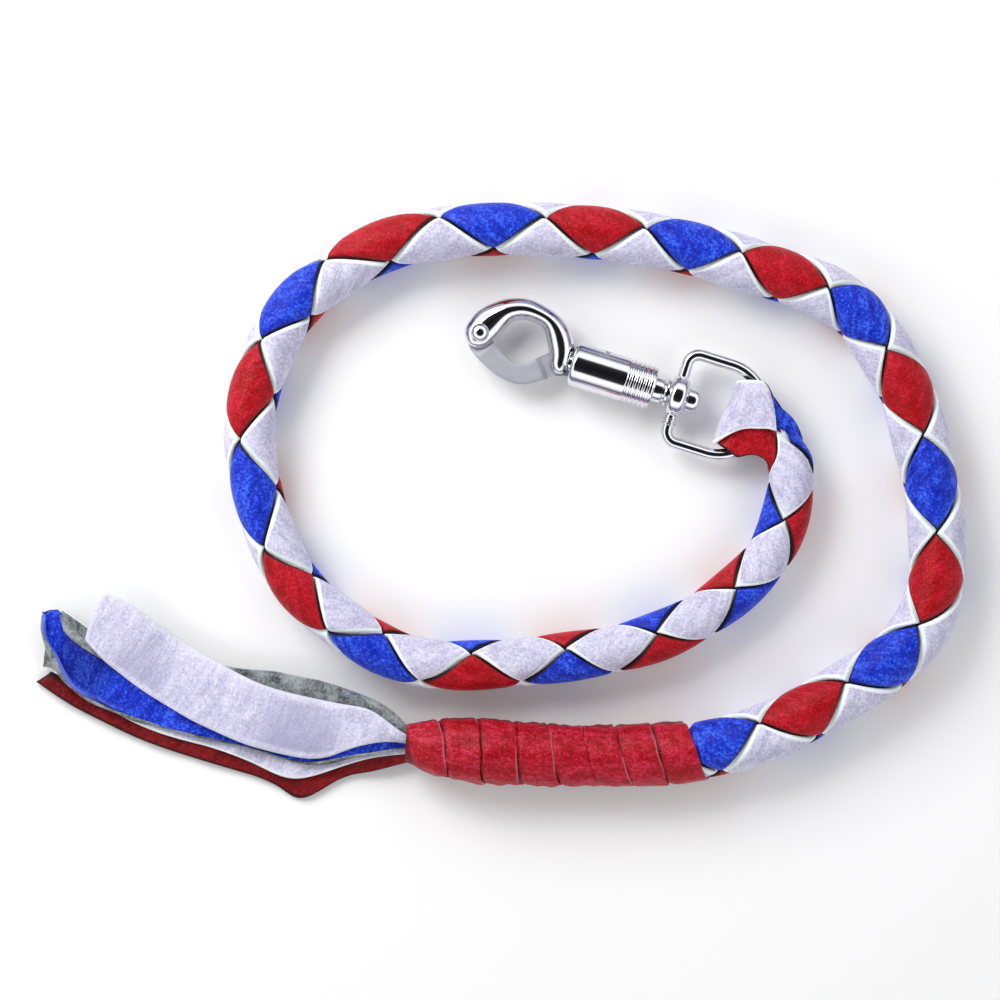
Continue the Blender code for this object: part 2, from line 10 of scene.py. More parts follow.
import bmesh
import bpy
import numpy as np
from mathutils import Matrix, Vector


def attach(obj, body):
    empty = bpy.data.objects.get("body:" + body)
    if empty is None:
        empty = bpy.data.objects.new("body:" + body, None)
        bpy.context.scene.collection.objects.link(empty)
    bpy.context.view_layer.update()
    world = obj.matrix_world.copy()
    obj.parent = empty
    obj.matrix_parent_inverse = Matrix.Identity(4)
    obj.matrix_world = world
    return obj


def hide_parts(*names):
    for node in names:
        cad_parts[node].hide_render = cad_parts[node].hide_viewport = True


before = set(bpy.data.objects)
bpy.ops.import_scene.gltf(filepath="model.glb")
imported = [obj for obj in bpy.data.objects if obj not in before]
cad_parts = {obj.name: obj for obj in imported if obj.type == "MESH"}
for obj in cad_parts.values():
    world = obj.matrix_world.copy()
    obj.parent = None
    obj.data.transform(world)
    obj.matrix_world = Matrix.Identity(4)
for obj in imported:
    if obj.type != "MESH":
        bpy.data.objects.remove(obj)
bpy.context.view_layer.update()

# ---------------------------------------------------------------- driving dimensions, in metres
VIEW_WIDTH = 0.34
VIEW_CENTRE = (0.0005, 0.0)
LENS = 100.0
SENSOR = 36.0

# The cord's own line, seen from above: the grip from its tassel end, then the braid to the ring.
GRIP_ROUTE = [(-0.0318, -0.0830), (-0.0148, -0.0843), (0.0175, -0.0865), (0.0481, -0.0864)]
BRAID_ROUTE = [
    (0.0672, -0.0850), (0.0828, -0.0816), (0.1046, -0.0724), (0.1195, -0.0636), (0.1338, -0.0541),
    (0.1436, -0.0425), (0.1484, -0.0272), (0.1487, -0.0102), (0.1426, 0.0231), (0.1372, 0.0394),
    (0.1311, 0.0503), (0.1229, 0.0619), (0.1120, 0.0700), (0.0971, 0.0758), (0.0655, 0.0853),
    (0.0155, 0.0918), (-0.0206, 0.0904), (-0.0393, 0.0860), (-0.0563, 0.0765), (-0.0699, 0.0646),
    (-0.0784, 0.0490), (-0.0838, 0.0323), (-0.0838, 0.0129), (-0.0757, -0.0153), (-0.0661, -0.0313),
    (-0.0539, -0.0415), (-0.0403, -0.0503), (-0.0247, -0.0554), (-0.0080, -0.0561), (0.0226, -0.0534),
    (0.0536, -0.0466), (0.0814, -0.0299), (0.0937, -0.0153), (0.0991, 0.0034), (0.0988, 0.0136),
    (0.0935, 0.0232),
]
BRAID_R_GRIP = 0.0102  # the braid tapers from the grip to the ring
BRAID_R_RING = 0.0083
RING_CLEARANCE = 0.005  # the braid stops this far short of its route's end, beside the ring
BRAID_IN_GRIP = 0.012  # the strands start this far inside the wrap

# Where two coloured diamonds of the upper column meet, two rows apart: the distance along the braid,
# and the column's angle there from straight up, positive towards the outside of the spiral.
COLUMN = [
    (0.0229, -26), (0.0562, -15), (0.0890, -9), (0.1222, -2), (0.1555, 7), (0.1872, 7), (0.2155, 13),
    (0.2470, 26), (0.2799, 29), (0.3135, 32), (0.3490, 45), (0.3880, 45), (0.4207, 34), (0.4540, 28),
    (0.4905, 34), (0.5241, 42), (0.5577, 57), (0.5907, 62), (0.6220, 80), (0.6540, 86), (0.6845, 88),
    (0.7125, 92),
]
LEATHER_THICK = 0.0018
STRAND_HALF = 0.96  # a strand's half width, in rows across the weave
WEAVE_HEIGHT = 0.00140  # how far a strand's middle lies above or below the weave's own surface
WEAVE_SHARPNESS = 4.5
SLUMP = math.radians(10)  # the weave has turned this much towards the spiral's inside on that side
SLUMP_AT = math.radians(-50)
PILLOW = 0.00055  # how far the middle of an upper diamond bulges

GRIP_SHAPE = [
    (0.000, 0.0068, 0.0085), (0.012, 0.0097, 0.0102), (0.025, 0.0111, 0.0111), (0.050, 0.0104, 0.0106),
    (0.066, 0.0101, 0.0103), (0.080, 0.0106, 0.0106), (0.100, 0.0103, 0.0104),
]
WRAP_TURNS = 8
WRAP_PITCH = 0.0121
WRAP_LAP = 0.0042
WRAP_THICK = 0.0009


# ---------------------------------------------------------------- small tools
def natural(knots, values, at):
    """Natural cubic spline: the values at the knots, carried to the places `at`."""
    knots, values, at = np.asarray(knots, float), np.asarray(values, float), np.asarray(at, float)
    spans = np.diff(knots)
    shape = (-1,) + (1,) * (values.ndim - 1)
    slopes = np.diff(values, axis=0) / spans.reshape(shape)
    system = np.eye(len(knots))
    bends = np.zeros_like(values)
    for i in range(1, len(knots) - 1):
        system[i, i - 1 : i + 2] = spans[i - 1], 2 * (spans[i - 1] + spans[i]), spans[i]
        bends[i] = 6 * (slopes[i] - slopes[i - 1])
    bends = np.linalg.solve(system, bends.reshape(len(knots), -1)).reshape(values.shape)
    i = np.clip(np.searchsorted(knots, at) - 1, 0, len(knots) - 2)
    h = spans[i]
    a, b = (knots[i + 1] - at) / h, (at - knots[i]) / h
    a, b, h = a.reshape(shape), b.reshape(shape), h.reshape(shape)
    curve_part = ((a**3 - a) * bends[i] + (b**3 - b) * bends[i + 1]) * h * h / 6
    return a * values[i] + b * values[i + 1] + curve_part


def smooth_curve(points, step):
    """Rows about `step` apart on a natural spline through the points; x and y set the spacing."""
    along = distances(np.array(points, float))
    return natural(along, points, np.linspace(0.0, along[-1], max(2, round(along[-1] / step) + 1)))


def distances(rows):
    steps = np.linalg.norm(np.diff(rows[:, :2], axis=0), axis=1)
    return np.concatenate([[0.0], np.cumsum(steps)])


def smoothstep(low, high, x):
    t = np.clip((np.asarray(x, float) - low) / (high - low), 0.0, 1.0)
    return t * t * (3 - 2 * t)


def add_mesh(name, points, faces, materials, uv=None, shade=None, slots=None, highlight_and_pale=None):
    """A mesh object; uv is in metres. The shade values tone the leather towards its edge colour, which also
    serves as painted shade, and the pale values towards a pale colour used for painted highlights and pale
    patches.
    """
    mesh = bpy.data.meshes.new(name)
    mesh.from_pydata([tuple(p) for p in points], [], faces)
    for look in materials:
        mesh.materials.append(look)
    if slots is not None:
        mesh.polygons.foreach_set("material_index", slots)
    if uv is not None:
        layer = mesh.uv_layers.new(name="leather")
        corners = np.empty(len(mesh.loops), int)
        mesh.loops.foreach_get("vertex_index", corners)
        layer.data.foreach_set("uv", np.asarray(uv, float)[corners].ravel())
    for title, values in (("shade", shade), ("highlight_and_pale", highlight_and_pale)):
        if values is not None:
            layer = mesh.attributes.new(title, "FLOAT", "POINT")
            layer.data.foreach_set("value", np.asarray(values, float).ravel())
    mesh.update()
    obj = bpy.data.objects.new(name, mesh)
    bpy.context.scene.collection.objects.link(obj)
    bm = bmesh.new()
    bm.from_mesh(mesh)
    if bm.calc_volume(signed=True) < 0:
        bmesh.ops.reverse_faces(bm, faces=bm.faces[:])
    bm.to_mesh(mesh)
    bm.free()
    mesh.shade_smooth()
    return obj


def ring_faces(rows, cols, caps=True, closed=False):
    """Faces of a tube of `rows` rings of `cols` points each."""
    faces = []
    for i in range(rows if closed else rows - 1):
        k = (i + 1) % rows
        for j in range(cols):
            n = (j + 1) % cols
            faces.append((i * cols + j, i * cols + n, k * cols + n, k * cols + j))
    if caps and not closed:
        faces.append(tuple(range(cols)))
        faces.append(tuple((rows - 1) * cols + j for j in range(cols)))
    return faces


# ---------------------------------------------------------------- materials
def link(tree, a, b):
    tree.links.new(a, b)


def new_material(name):
    found = bpy.data.materials.new(name)
    found.use_nodes = True
    return found, found.node_tree, found.node_tree.nodes["Principled BSDF"]


def node(tree, kind, **values):
    made = tree.nodes.new(kind)
    for key, value in values.items():
        if key in made.inputs:
            made.inputs[key].default_value = value
        else:
            setattr(made, key, value)
    return made


def ramp(tree, source, stops):
    made = tree.nodes.new("ShaderNodeValToRGB")
    elements = made.color_ramp.elements
    elements[0].position, elements[0].color = stops[0][0], (*stops[0][1], 1.0)
    elements[1].position, elements[1].color = stops[-1][0], (*stops[-1][1], 1.0)
    for at, colour in stops[1:-1]:
        elements.new(at).color = (*colour, 1.0)
    link(tree, source, made.inputs["Fac"])
    return made


def mix_colour(tree, factor, first, second):
    made = tree.nodes.new("ShaderNodeMix")
    made.data_type = "RGBA"
    for socket, value in (("Factor", factor), ("A", first), ("B", second)):
        target = [s for s in made.inputs if s.name == socket and (socket == "Factor" or s.type == "RGBA")][0]
        if isinstance(value, bpy.types.NodeSocket):
            link(tree, value, target)
        elif socket == "Factor":
            target.default_value = value
        else:
            target.default_value = (*value, 1.0)
    return [s for s in made.outputs if s.type == "RGBA"][0]


def maths(tree, operation, *values):
    made = tree.nodes.new("ShaderNodeMath")
    made.operation = operation
    for socket, value in zip(made.inputs, values):
        if isinstance(value, bpy.types.NodeSocket):
            link(tree, value, socket)
        else:
            socket.default_value = value
    return made.outputs[0]


def noise(tree, place, **values):
    made = node(tree, "ShaderNodeTexNoise", **values)
    link(tree, place, made.inputs["Vector"])
    return made.outputs[0]


def set_bump(tree, shader, height, strength, distance):
    bump = node(tree, "ShaderNodeBump", Strength=strength, Distance=distance)
    link(tree, height, bump.inputs["Height"])
    link(tree, bump.outputs[0], shader.inputs["Normal"])


def leather(name, dark, base, light, edge, roughness=0.5, wrinkle=0.5, grain=0.35):
    """Grained leather: mottled colour, pebble grain, fine creases across the strap, and two tones laid on by
    point
    attributes: an edge colour, for toned cut edges and painted shade, and a pale one, for painted highlights
    and pale patches.
    """
    found, tree, shader = new_material(name)
    coords = tree.nodes.new("ShaderNodeTexCoord")
    stretch = node(tree, "ShaderNodeMapping")
    stretch.inputs["Scale"].default_value = (420.0, 95.0, 1.0)
    link(tree, coords.outputs["UV"], stretch.inputs["Vector"])
    creases = noise(tree, stretch.outputs[0], Scale=1.0, Detail=4.0, Roughness=0.55, Distortion=0.6)
    mottle = noise(tree, coords.outputs["Object"], Scale=170.0, Detail=5.0, Roughness=0.6)
    pebble = node(tree, "ShaderNodeTexVoronoi", Scale=900.0, feature="DISTANCE_TO_EDGE")
    link(tree, coords.outputs["Object"], pebble.inputs["Vector"])
    pores = maths(tree, "MINIMUM", pebble.outputs[0], 0.22)
    fine = noise(tree, coords.outputs["Object"], Scale=1100.0, Detail=3.0, Roughness=0.6)
    broad = maths(tree, "MULTIPLY", mottle, 0.22)
    lines = maths(tree, "MULTIPLY", creases, 0.30)
    grains = maths(tree, "MULTIPLY", fine, 0.48)
    tone = maths(tree, "ADD", maths(tree, "ADD", broad, lines), grains)
    colour = ramp(tree, tone, [(0.40, dark), (0.50, base), (0.60, light)])
    # The edge colour, laid on where the attribute asks: toned cut edges and painted shade.
    shade = tree.nodes.new("ShaderNodeAttribute")
    shade.attribute_name = "shade"
    blotch = maths(tree, "MULTIPLY", maths(tree, "SUBTRACT", mottle, 0.5), 0.35)
    ragged = maths(tree, "ADD", shade.outputs["Fac"], blotch)
    amount = ramp(tree, ragged, [(0.30, (0.0, 0.0, 0.0)), (0.85, (1.0, 1.0, 1.0))])
    toned = mix_colour(tree, amount.outputs[0], colour.outputs[0], edge)
    # The pale colour, laid on where the attribute asks: painted highlights and pale patches.
    highlight_and_pale = tree.nodes.new("ShaderNodeAttribute")
    highlight_and_pale.attribute_name = "highlight_and_pale"
    final = mix_colour(tree, highlight_and_pale.outputs["Fac"], toned, tuple(0.72 * c + 0.20 for c in light))
    link(tree, final, shader.inputs["Base Color"])
    gloss = maths(tree, "ADD", roughness - 0.12, maths(tree, "MULTIPLY", mottle, 0.24))
    link(tree, gloss, shader.inputs["Roughness"])
    pitted = maths(tree, "MULTIPLY", pores, grain * 2.2)
    creased = maths(tree, "MULTIPLY", creases, wrinkle * 2.0)
    height = maths(tree, "ADD", pitted, creased)
    set_bump(tree, shader, height, 0.75, 0.0005)
    shader.inputs["Specular IOR Level"].default_value = 0.22
    return found


def suede(name, dark, light):
    """The flesh side and cut edges of leather: a fibrous nap."""
    found, tree, shader = new_material(name)
    coords = tree.nodes.new("ShaderNodeTexCoord")
    fibres = noise(tree, coords.outputs["Object"], Scale=900.0, Detail=6.0, Roughness=0.7)
    clouds = noise(tree, coords.outputs["Object"], Scale=120.0, Detail=3.0)
    threads = maths(tree, "MULTIPLY", fibres, 0.5)
    tone = maths(tree, "ADD", threads, maths(tree, "MULTIPLY", clouds, 0.5))
    colour = ramp(tree, tone, [(0.40, dark), (0.60, light)])
    link(tree, colour.outputs[0], shader.inputs["Base Color"])
    gloss = maths(tree, "ADD", 0.8, maths(tree, "MULTIPLY", fibres, 0.15))
    link(tree, gloss, shader.inputs["Roughness"])
    set_bump(tree, shader, fibres, 0.6, 0.0003)
    shader.inputs["Sheen Weight"].default_value = 0.25
    return found


def metal(name, colour, roughness, scratch=0.05, metallic=1.0):
    """Polished plate with faint handling marks."""
    found, tree, shader = new_material(name)
    coords = tree.nodes.new("ShaderNodeTexCoord")
    smear = noise(tree, coords.outputs["Object"], Scale=260.0, Detail=5.0, Roughness=0.65)
    marks = noise(tree, coords.outputs["Object"], Scale=2200.0, Detail=3.0)
    tint = ramp(tree, smear, [(0.3, tuple(c * 0.88 for c in colour)), (0.7, colour)])
    link(tree, tint.outputs[0], shader.inputs["Base Color"])
    shader.inputs["Metallic"].default_value = metallic
    gloss = maths(tree, "ADD", roughness, maths(tree, "MULTIPLY", smear, roughness * 0.8))
    link(tree, gloss, shader.inputs["Roughness"])
    set_bump(tree, shader, marks, scratch, 0.0001)
    return found


WHITE = leather(
    "white_leather", (0.44, 0.43, 0.60), (0.62, 0.60, 0.78), (0.78, 0.77, 0.92), (0.92, 0.99, 1.0), 0.5, 0.6)
BLUE = leather(
    "blue_leather", (0.002, 0.010, 0.30), (0.007, 0.034, 0.58), (0.05, 0.15, 0.92), (0.0, 0.001, 0.03),
    0.42, 0.8)
RED = leather(
    "red_leather", (0.26, 0.0, 0.001), (0.41, 0.0, 0.005), (0.60, 0.010, 0.035), (0.03, 0.0, 0.002),
    0.45, 0.8)
# Its edge colour, a lavender grey, is laid on only as painted shade, in the upper white strip's bands.
STRIP_WHITE = leather(
    "tassel_white_leather", (0.46, 0.45, 0.62), (0.62, 0.60, 0.78), (0.78, 0.77, 0.92), (0.36, 0.36, 0.56),
    0.5, 0.7)
DARK_RED = leather(
    "tassel_red_leather", (0.09, 0.0, 0.001), (0.17, 0.0, 0.002), (0.28, 0.003, 0.01), (0.018, 0.001, 0.002),
    0.5, 0.6)
# Its edge colour is laid on only as painted shade, in the wrap's seams and on its underside.
GRIP = leather(
    "grip_leather", (0.24, 0.0, 0.004), (0.43, 0.002, 0.012), (0.60, 0.03, 0.08), (0.10, 0.0, 0.004),
    0.42, 0.7)
GREY_NAP = suede("grey_suede", (0.03, 0.04, 0.045), (0.36, 0.40, 0.41))
RED_NAP = suede("red_suede", (0.10, 0.0, 0.004), (0.25, 0.01, 0.02))
NAVY_NAP = suede("navy_suede", (0.0, 0.004, 0.05), (0.01, 0.03, 0.18))
BROWN = suede("core_fibre", (0.16, 0.11, 0.06), (0.38, 0.29, 0.19))
CHROME = metal("nickel_plate", (0.80, 0.80, 0.84), 0.07)
MATTE = metal("nickel_satin", (0.44, 0.44, 0.50), 0.45, 0.05, 0.3)
STEEL = metal("spring_steel", (0.50, 0.51, 0.54), 0.22)


# ---------------------------------------------------------------- the cord's line
ROUTE = smooth_curve([*GRIP_ROUTE, *BRAID_ROUTE], 0.0008)
ALONG = distances(ROUTE)
GRIP_LENGTH = float(distances(smooth_curve([*GRIP_ROUTE, BRAID_ROUTE[0]], 0.0008))[-1])
BRAID_LENGTH = float(ALONG[-1]) - GRIP_LENGTH - RING_CLEARANCE
HEADING = np.gradient(ROUTE, axis=0)
HEADING /= np.linalg.norm(HEADING, axis=1)[:, None]
ROWS = [row * 2.0 for row in range(len(COLUMN))]
ROW_PITCH = 0.0167


def braid_radius(s):
    share = np.clip(np.asarray(s, float) / BRAID_LENGTH, 0.0, 1.0)
    return BRAID_R_GRIP + (BRAID_R_RING - BRAID_R_GRIP) * share


def place_of_row(u):
    """Distance along the braid, from the grip, of a weave row."""
    at = [s for s, _ in COLUMN]
    before = at[0] + np.minimum(u, 0.0) * ROW_PITCH
    after = np.maximum(np.asarray(u, float) - ROWS[-1], 0.0) * ROW_PITCH
    return np.where(np.asarray(u) < 0.0, before, np.interp(u, ROWS, at) + after)


def column_angle(u):
    """The upper coloured column's angle at a weave row, in degrees from straight up."""
    return np.interp(u, ROWS, [angle for _, angle in COLUMN])


def around(s, angle, radius, height):
    """Points at distance s from the grip, at an angle from straight up towards the spiral's outside."""
    s = np.asarray(s, float) + GRIP_LENGTH
    x, y = np.interp(s, ALONG, ROUTE[:, 0]), np.interp(s, ALONG, ROUTE[:, 1])
    hx, hy = np.interp(s, ALONG, HEADING[:, 0]), np.interp(s, ALONG, HEADING[:, 1])
    angle = angle - SLUMP * ((1 + np.cos(angle - SLUMP_AT)) / 2) ** 2
    side, up = radius * np.sin(angle), radius * np.cos(angle)
    return np.stack(np.broadcast_arrays(x + hy * side, y - hx * side, height + up), axis=-1)


# ---------------------------------------------------------------- the braid
STRAP_PROFILE = [
    (-1.0, -0.08), (-0.994, 0.20), (-0.975, 0.38), (-0.94, 0.48), (-0.86, 0.5), (-0.70, 0.5), (-0.5, 0.5),
    (-0.25, 0.5), (0.0, 0.5), (0.25, 0.5), (0.5, 0.5), (0.70, 0.5), (0.86, 0.5), (0.94, 0.48),
    (0.975, 0.38), (0.994, 0.20), (1.0, -0.08), (0.994, -0.36), (0.97, -0.5), (0.6, -0.5), (0.2, -0.5),
    (-0.2, -0.5), (-0.6, -0.5), (-0.97, -0.5), (-0.994, -0.36),
]


def weave(x):
    return np.tanh(WEAVE_SHARPNESS * x) / math.tanh(WEAVE_SHARPNESS)


def strand_stations(first, last, phase):
    """Places along a strand: close together where it dives under its neighbours."""
    steps = np.concatenate([np.linspace(-0.78, 0.78, 9), np.linspace(0.84, 1.16, 8)])
    start = math.floor((first - phase) / 2) * 2 + phase
    found = np.concatenate([start + 2 * k + steps for k in range(int((last - first) / 2) + 3)])
    return found[(found >= first) & (found <= last)]


def make_strand(name, kind, number, look, nap):
    """One strand of the weave: kind +1 climbs towards the spiral's outside, -1 the other way."""
    first = (-BRAID_IN_GRIP - COLUMN[0][0]) / ROW_PITCH
    last = ROWS[-1] + (BRAID_LENGTH - COLUMN[-1][0]) / ROW_PITCH
    phase = 2.0 * number + (0.0 if kind > 0 else 2.0)
    offset = 2.0 * number
    low, high = 2 * first - offset - 1, 2 * last - offset + 1
    run = strand_stations(low, high, phase % 2)
    sigma = np.array([p[0] for p in STRAP_PROFILE]) * STRAND_HALF
    level = np.array([p[1] for p in STRAP_PROFILE])
    t, across = np.meshgrid(run, sigma, indexing="ij")
    if kind > 0:
        u, v = (t + offset + across) / 2, (t - offset - across) / 2
        wave = np.cos(math.pi * (t / 2 + number))
    else:
        u, v = (t + offset + across) / 2, (offset + across - t) / 2
        wave = -np.cos(math.pi * (t / 2 + number))
    s = place_of_row(u)
    radius = braid_radius(s)
    middle = radius - WEAVE_HEIGHT - LEATHER_THICK / 2 - PILLOW
    puff = np.clip(wave, 0.0, 1.0) ** 0.7 * (1 - (across / STRAND_HALF) ** 2) * PILLOW
    lift = WEAVE_HEIGHT * weave(wave) + LEATHER_THICK * level[None, :] + puff * (level[None, :] > 0)
    squeeze = 1 - 0.35 * smoothstep(0.001, -0.005, s)
    squeeze = squeeze - 0.22 * smoothstep(BRAID_LENGTH - 0.008, BRAID_LENGTH, s)
    angle = np.radians(column_angle(u) - 90 + 90 * v)
    points = around(s, angle, (middle + lift) * squeeze, radius)
    # Edge toning: the blue and red strands darken along their cut edges, partly their own dark edge colour
    # and partly painted shade, and as painted shade where they dive under their neighbours; the white strands
    # turn paler along their edges and where they dive.
    inner, outer, crossing = (0.83, 0.93, 0.30) if kind > 0 else (0.88, 1.0, 0.20)
    shade = np.maximum(
        smoothstep(inner, outer, np.abs(across) / STRAND_HALF), smoothstep(crossing, crossing - 0.18, wave))
    uv = np.stack([t * 0.0109, across * 0.0118], axis=-1)
    cols = len(sigma)
    faces = ring_faces(len(run), cols)
    under = [19 <= j < 23 for j in range(cols)]
    slots = [int(under[k % cols]) for k in range((len(run) - 1) * cols)] + [1, 1]
    made = add_mesh(name, points.reshape(-1, 3), faces, [look, nap], uv.reshape(-1, 2), shade.ravel(), slots)
    trim(made, s.ravel(), ((BRAID_LENGTH, 1.0), (-BRAID_IN_GRIP, -1.0)))
    return made


def trim(obj, places, cuts):
    """Cuts the strand square across the braid at each place, and closes the cuts."""
    bm = bmesh.new()
    bm.from_mesh(obj.data)
    near = [{v for v, place in zip(bm.verts, places) if abs(place - s) < 0.05} for s, _ in cuts]
    for (s, side), verts in zip(cuts, near):
        at = around(s, 0.0, 0.0, 0.0)
        ahead = around(s + 0.001, 0.0, 0.0, 0.0) - around(s - 0.001, 0.0, 0.0, 0.0)
        faces = [f for f in bm.faces if all(v in verts for v in f.verts)]
        edges = {e for f in faces for e in f.edges}
        bmesh.ops.bisect_plane(
            bm, geom=[*verts, *edges, *faces], plane_co=Vector(at), plane_no=Vector(ahead) * side,
            dist=0.00001, clear_outer=True,
        )
    bmesh.ops.holes_fill(bm, edges=[e for e in bm.edges if e.is_boundary], sides=0)
    bm.to_mesh(obj.data)
    bm.free()


strands = [
    make_strand("braid_white_1", 1, 0, WHITE, GREY_NAP),
    make_strand("braid_white_2", 1, 1, WHITE, GREY_NAP),
    make_strand("braid_blue", -1, 0, BLUE, NAVY_NAP),
    make_strand("braid_red", -1, 1, RED, RED_NAP),
]


def make_core():
    s = np.linspace(-BRAID_IN_GRIP, BRAID_LENGTH - 0.0005, 260)
    turns = np.linspace(0, 2 * math.pi, 24, endpoint=False)
    grid, angle = np.meshgrid(s, turns, indexing="ij")
    ridges = 1 + 0.03 * np.sin(5 * angle + grid * 900)
    radius = (braid_radius(grid) - 0.0048) * ridges * (1 - 0.25 * smoothstep(0.0, -0.006, grid))
    points = around(grid, angle, radius, braid_radius(grid))
    return add_mesh("braid_filler", points.reshape(-1, 3), ring_faces(len(s), 24), [BROWN])


core = make_core()

for piece in (*strands, core):
    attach(piece, "lead")
for piece in strands:
    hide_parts("braid_strands")
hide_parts("braid_core")
cord_path = around(np.linspace(-BRAID_IN_GRIP, BRAID_LENGTH, 240), 0.0, 0.0, 0.0)
cord_path[:, 2] = braid_radius(np.linspace(-BRAID_IN_GRIP, BRAID_LENGTH, 240))
[float(x) for x in around(0.0, 0.0, 0.0, BRAID_R_GRIP)]


# ---------------------------------------------------------------- the grip
def grip_size(s):
    at, radius, height = zip(*GRIP_SHAPE)
    return np.interp(s, at, radius), np.interp(s, at, height)


def make_wrap():
    """A strip wound round the grip, each turn lapping the one before, creased and pulled tight."""
    width = WRAP_PITCH + WRAP_LAP
    profile = [
        (0.0, -0.1), (0.004, 0.25), (0.02, 0.45), (0.05, 0.5),
        *[(0.12 + 0.08 * k, 0.5) for k in range(10)], (0.97, 0.4), (1.0, 0.0),
        (0.97, -0.5), (0.75, -0.5), (0.5, -0.5), (0.25, -0.5), (0.02, -0.5), (0.004, -0.4),
    ]
    share = np.array([p[0] for p in profile])
    level = np.array([p[1] for p in profile])
    turn = np.linspace(0.42, WRAP_TURNS + 0.5, int(WRAP_TURNS * 72))
    run, q = np.meshgrid(turn, share, indexing="ij")
    wander = 0.0006 * np.sin(run * 5.1) + 0.0004 * np.sin(run * 13.3 + 1.0) + 0.00015 * np.sin(run * 41.0)
    wander = wander * smoothstep(WRAP_TURNS + 0.4, WRAP_TURNS - 0.4, run)
    s = GRIP_LENGTH - 0.0007 - (WRAP_TURNS - run) * WRAP_PITCH - q * width + wander
    s = np.maximum(s, 0.0002 + 0.0002 * q)
    radius, height = grip_size(s)
    bury = smoothstep(0.62, 0.80, q) * 1.1
    angle = 2 * math.pi * run
    folds = np.sin(q * 21 + 2.3 * np.sin(run * 7.0)) * (0.5 + 0.5 * np.sin(run * 11.7 + 2.0))
    ripple = 0.00022 * folds + 0.00012 * np.sin(run * 53 + q * 13) + 0.00016 * np.sin(run * 29 - q * 8)
    facet = 0.00022 * np.cos(7 * angle + 0.8 * np.sin(run * 3.0)) * (1 - q)
    r = radius - WRAP_THICK * 0.35 + WRAP_THICK * (level[None, :] - bury)
    r = r + (ripple + facet) * (1 - bury / 1.1)
    points = around(s - GRIP_LENGTH, angle, r, height)
    points[..., 2] = np.maximum(points[..., 2], 0.0001)
    # Painted shade: darker where each turn runs under the next, and along the grip's underside. Painted
    # highlight: a pale line, in patches, along each turn's exposed edge.
    shade = 0.75 * smoothstep(0.64, 0.745, q)
    shade = np.maximum(shade, 0.7 * smoothstep(0.45, -0.1, np.cos(angle - 0.25)))
    patches = np.sin(run * 12.57 + 2.2 * np.sin(run * 2.1))
    highlight_and_pale = 0.6 * smoothstep(0.05, 0.01, q) * smoothstep(-0.2, 0.7, patches)
    uv = np.stack([run * 0.066, q * width], axis=-1)
    faces = ring_faces(len(turn), len(profile))
    uv = uv.reshape(-1, 2)
    return add_mesh("grip_wrap_strip", points.reshape(-1, 3), faces, [GRIP], uv, shade, highlight_and_pale=highlight_and_pale)


wrap = make_wrap()
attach(wrap, "lead")
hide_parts("grip_wrap")
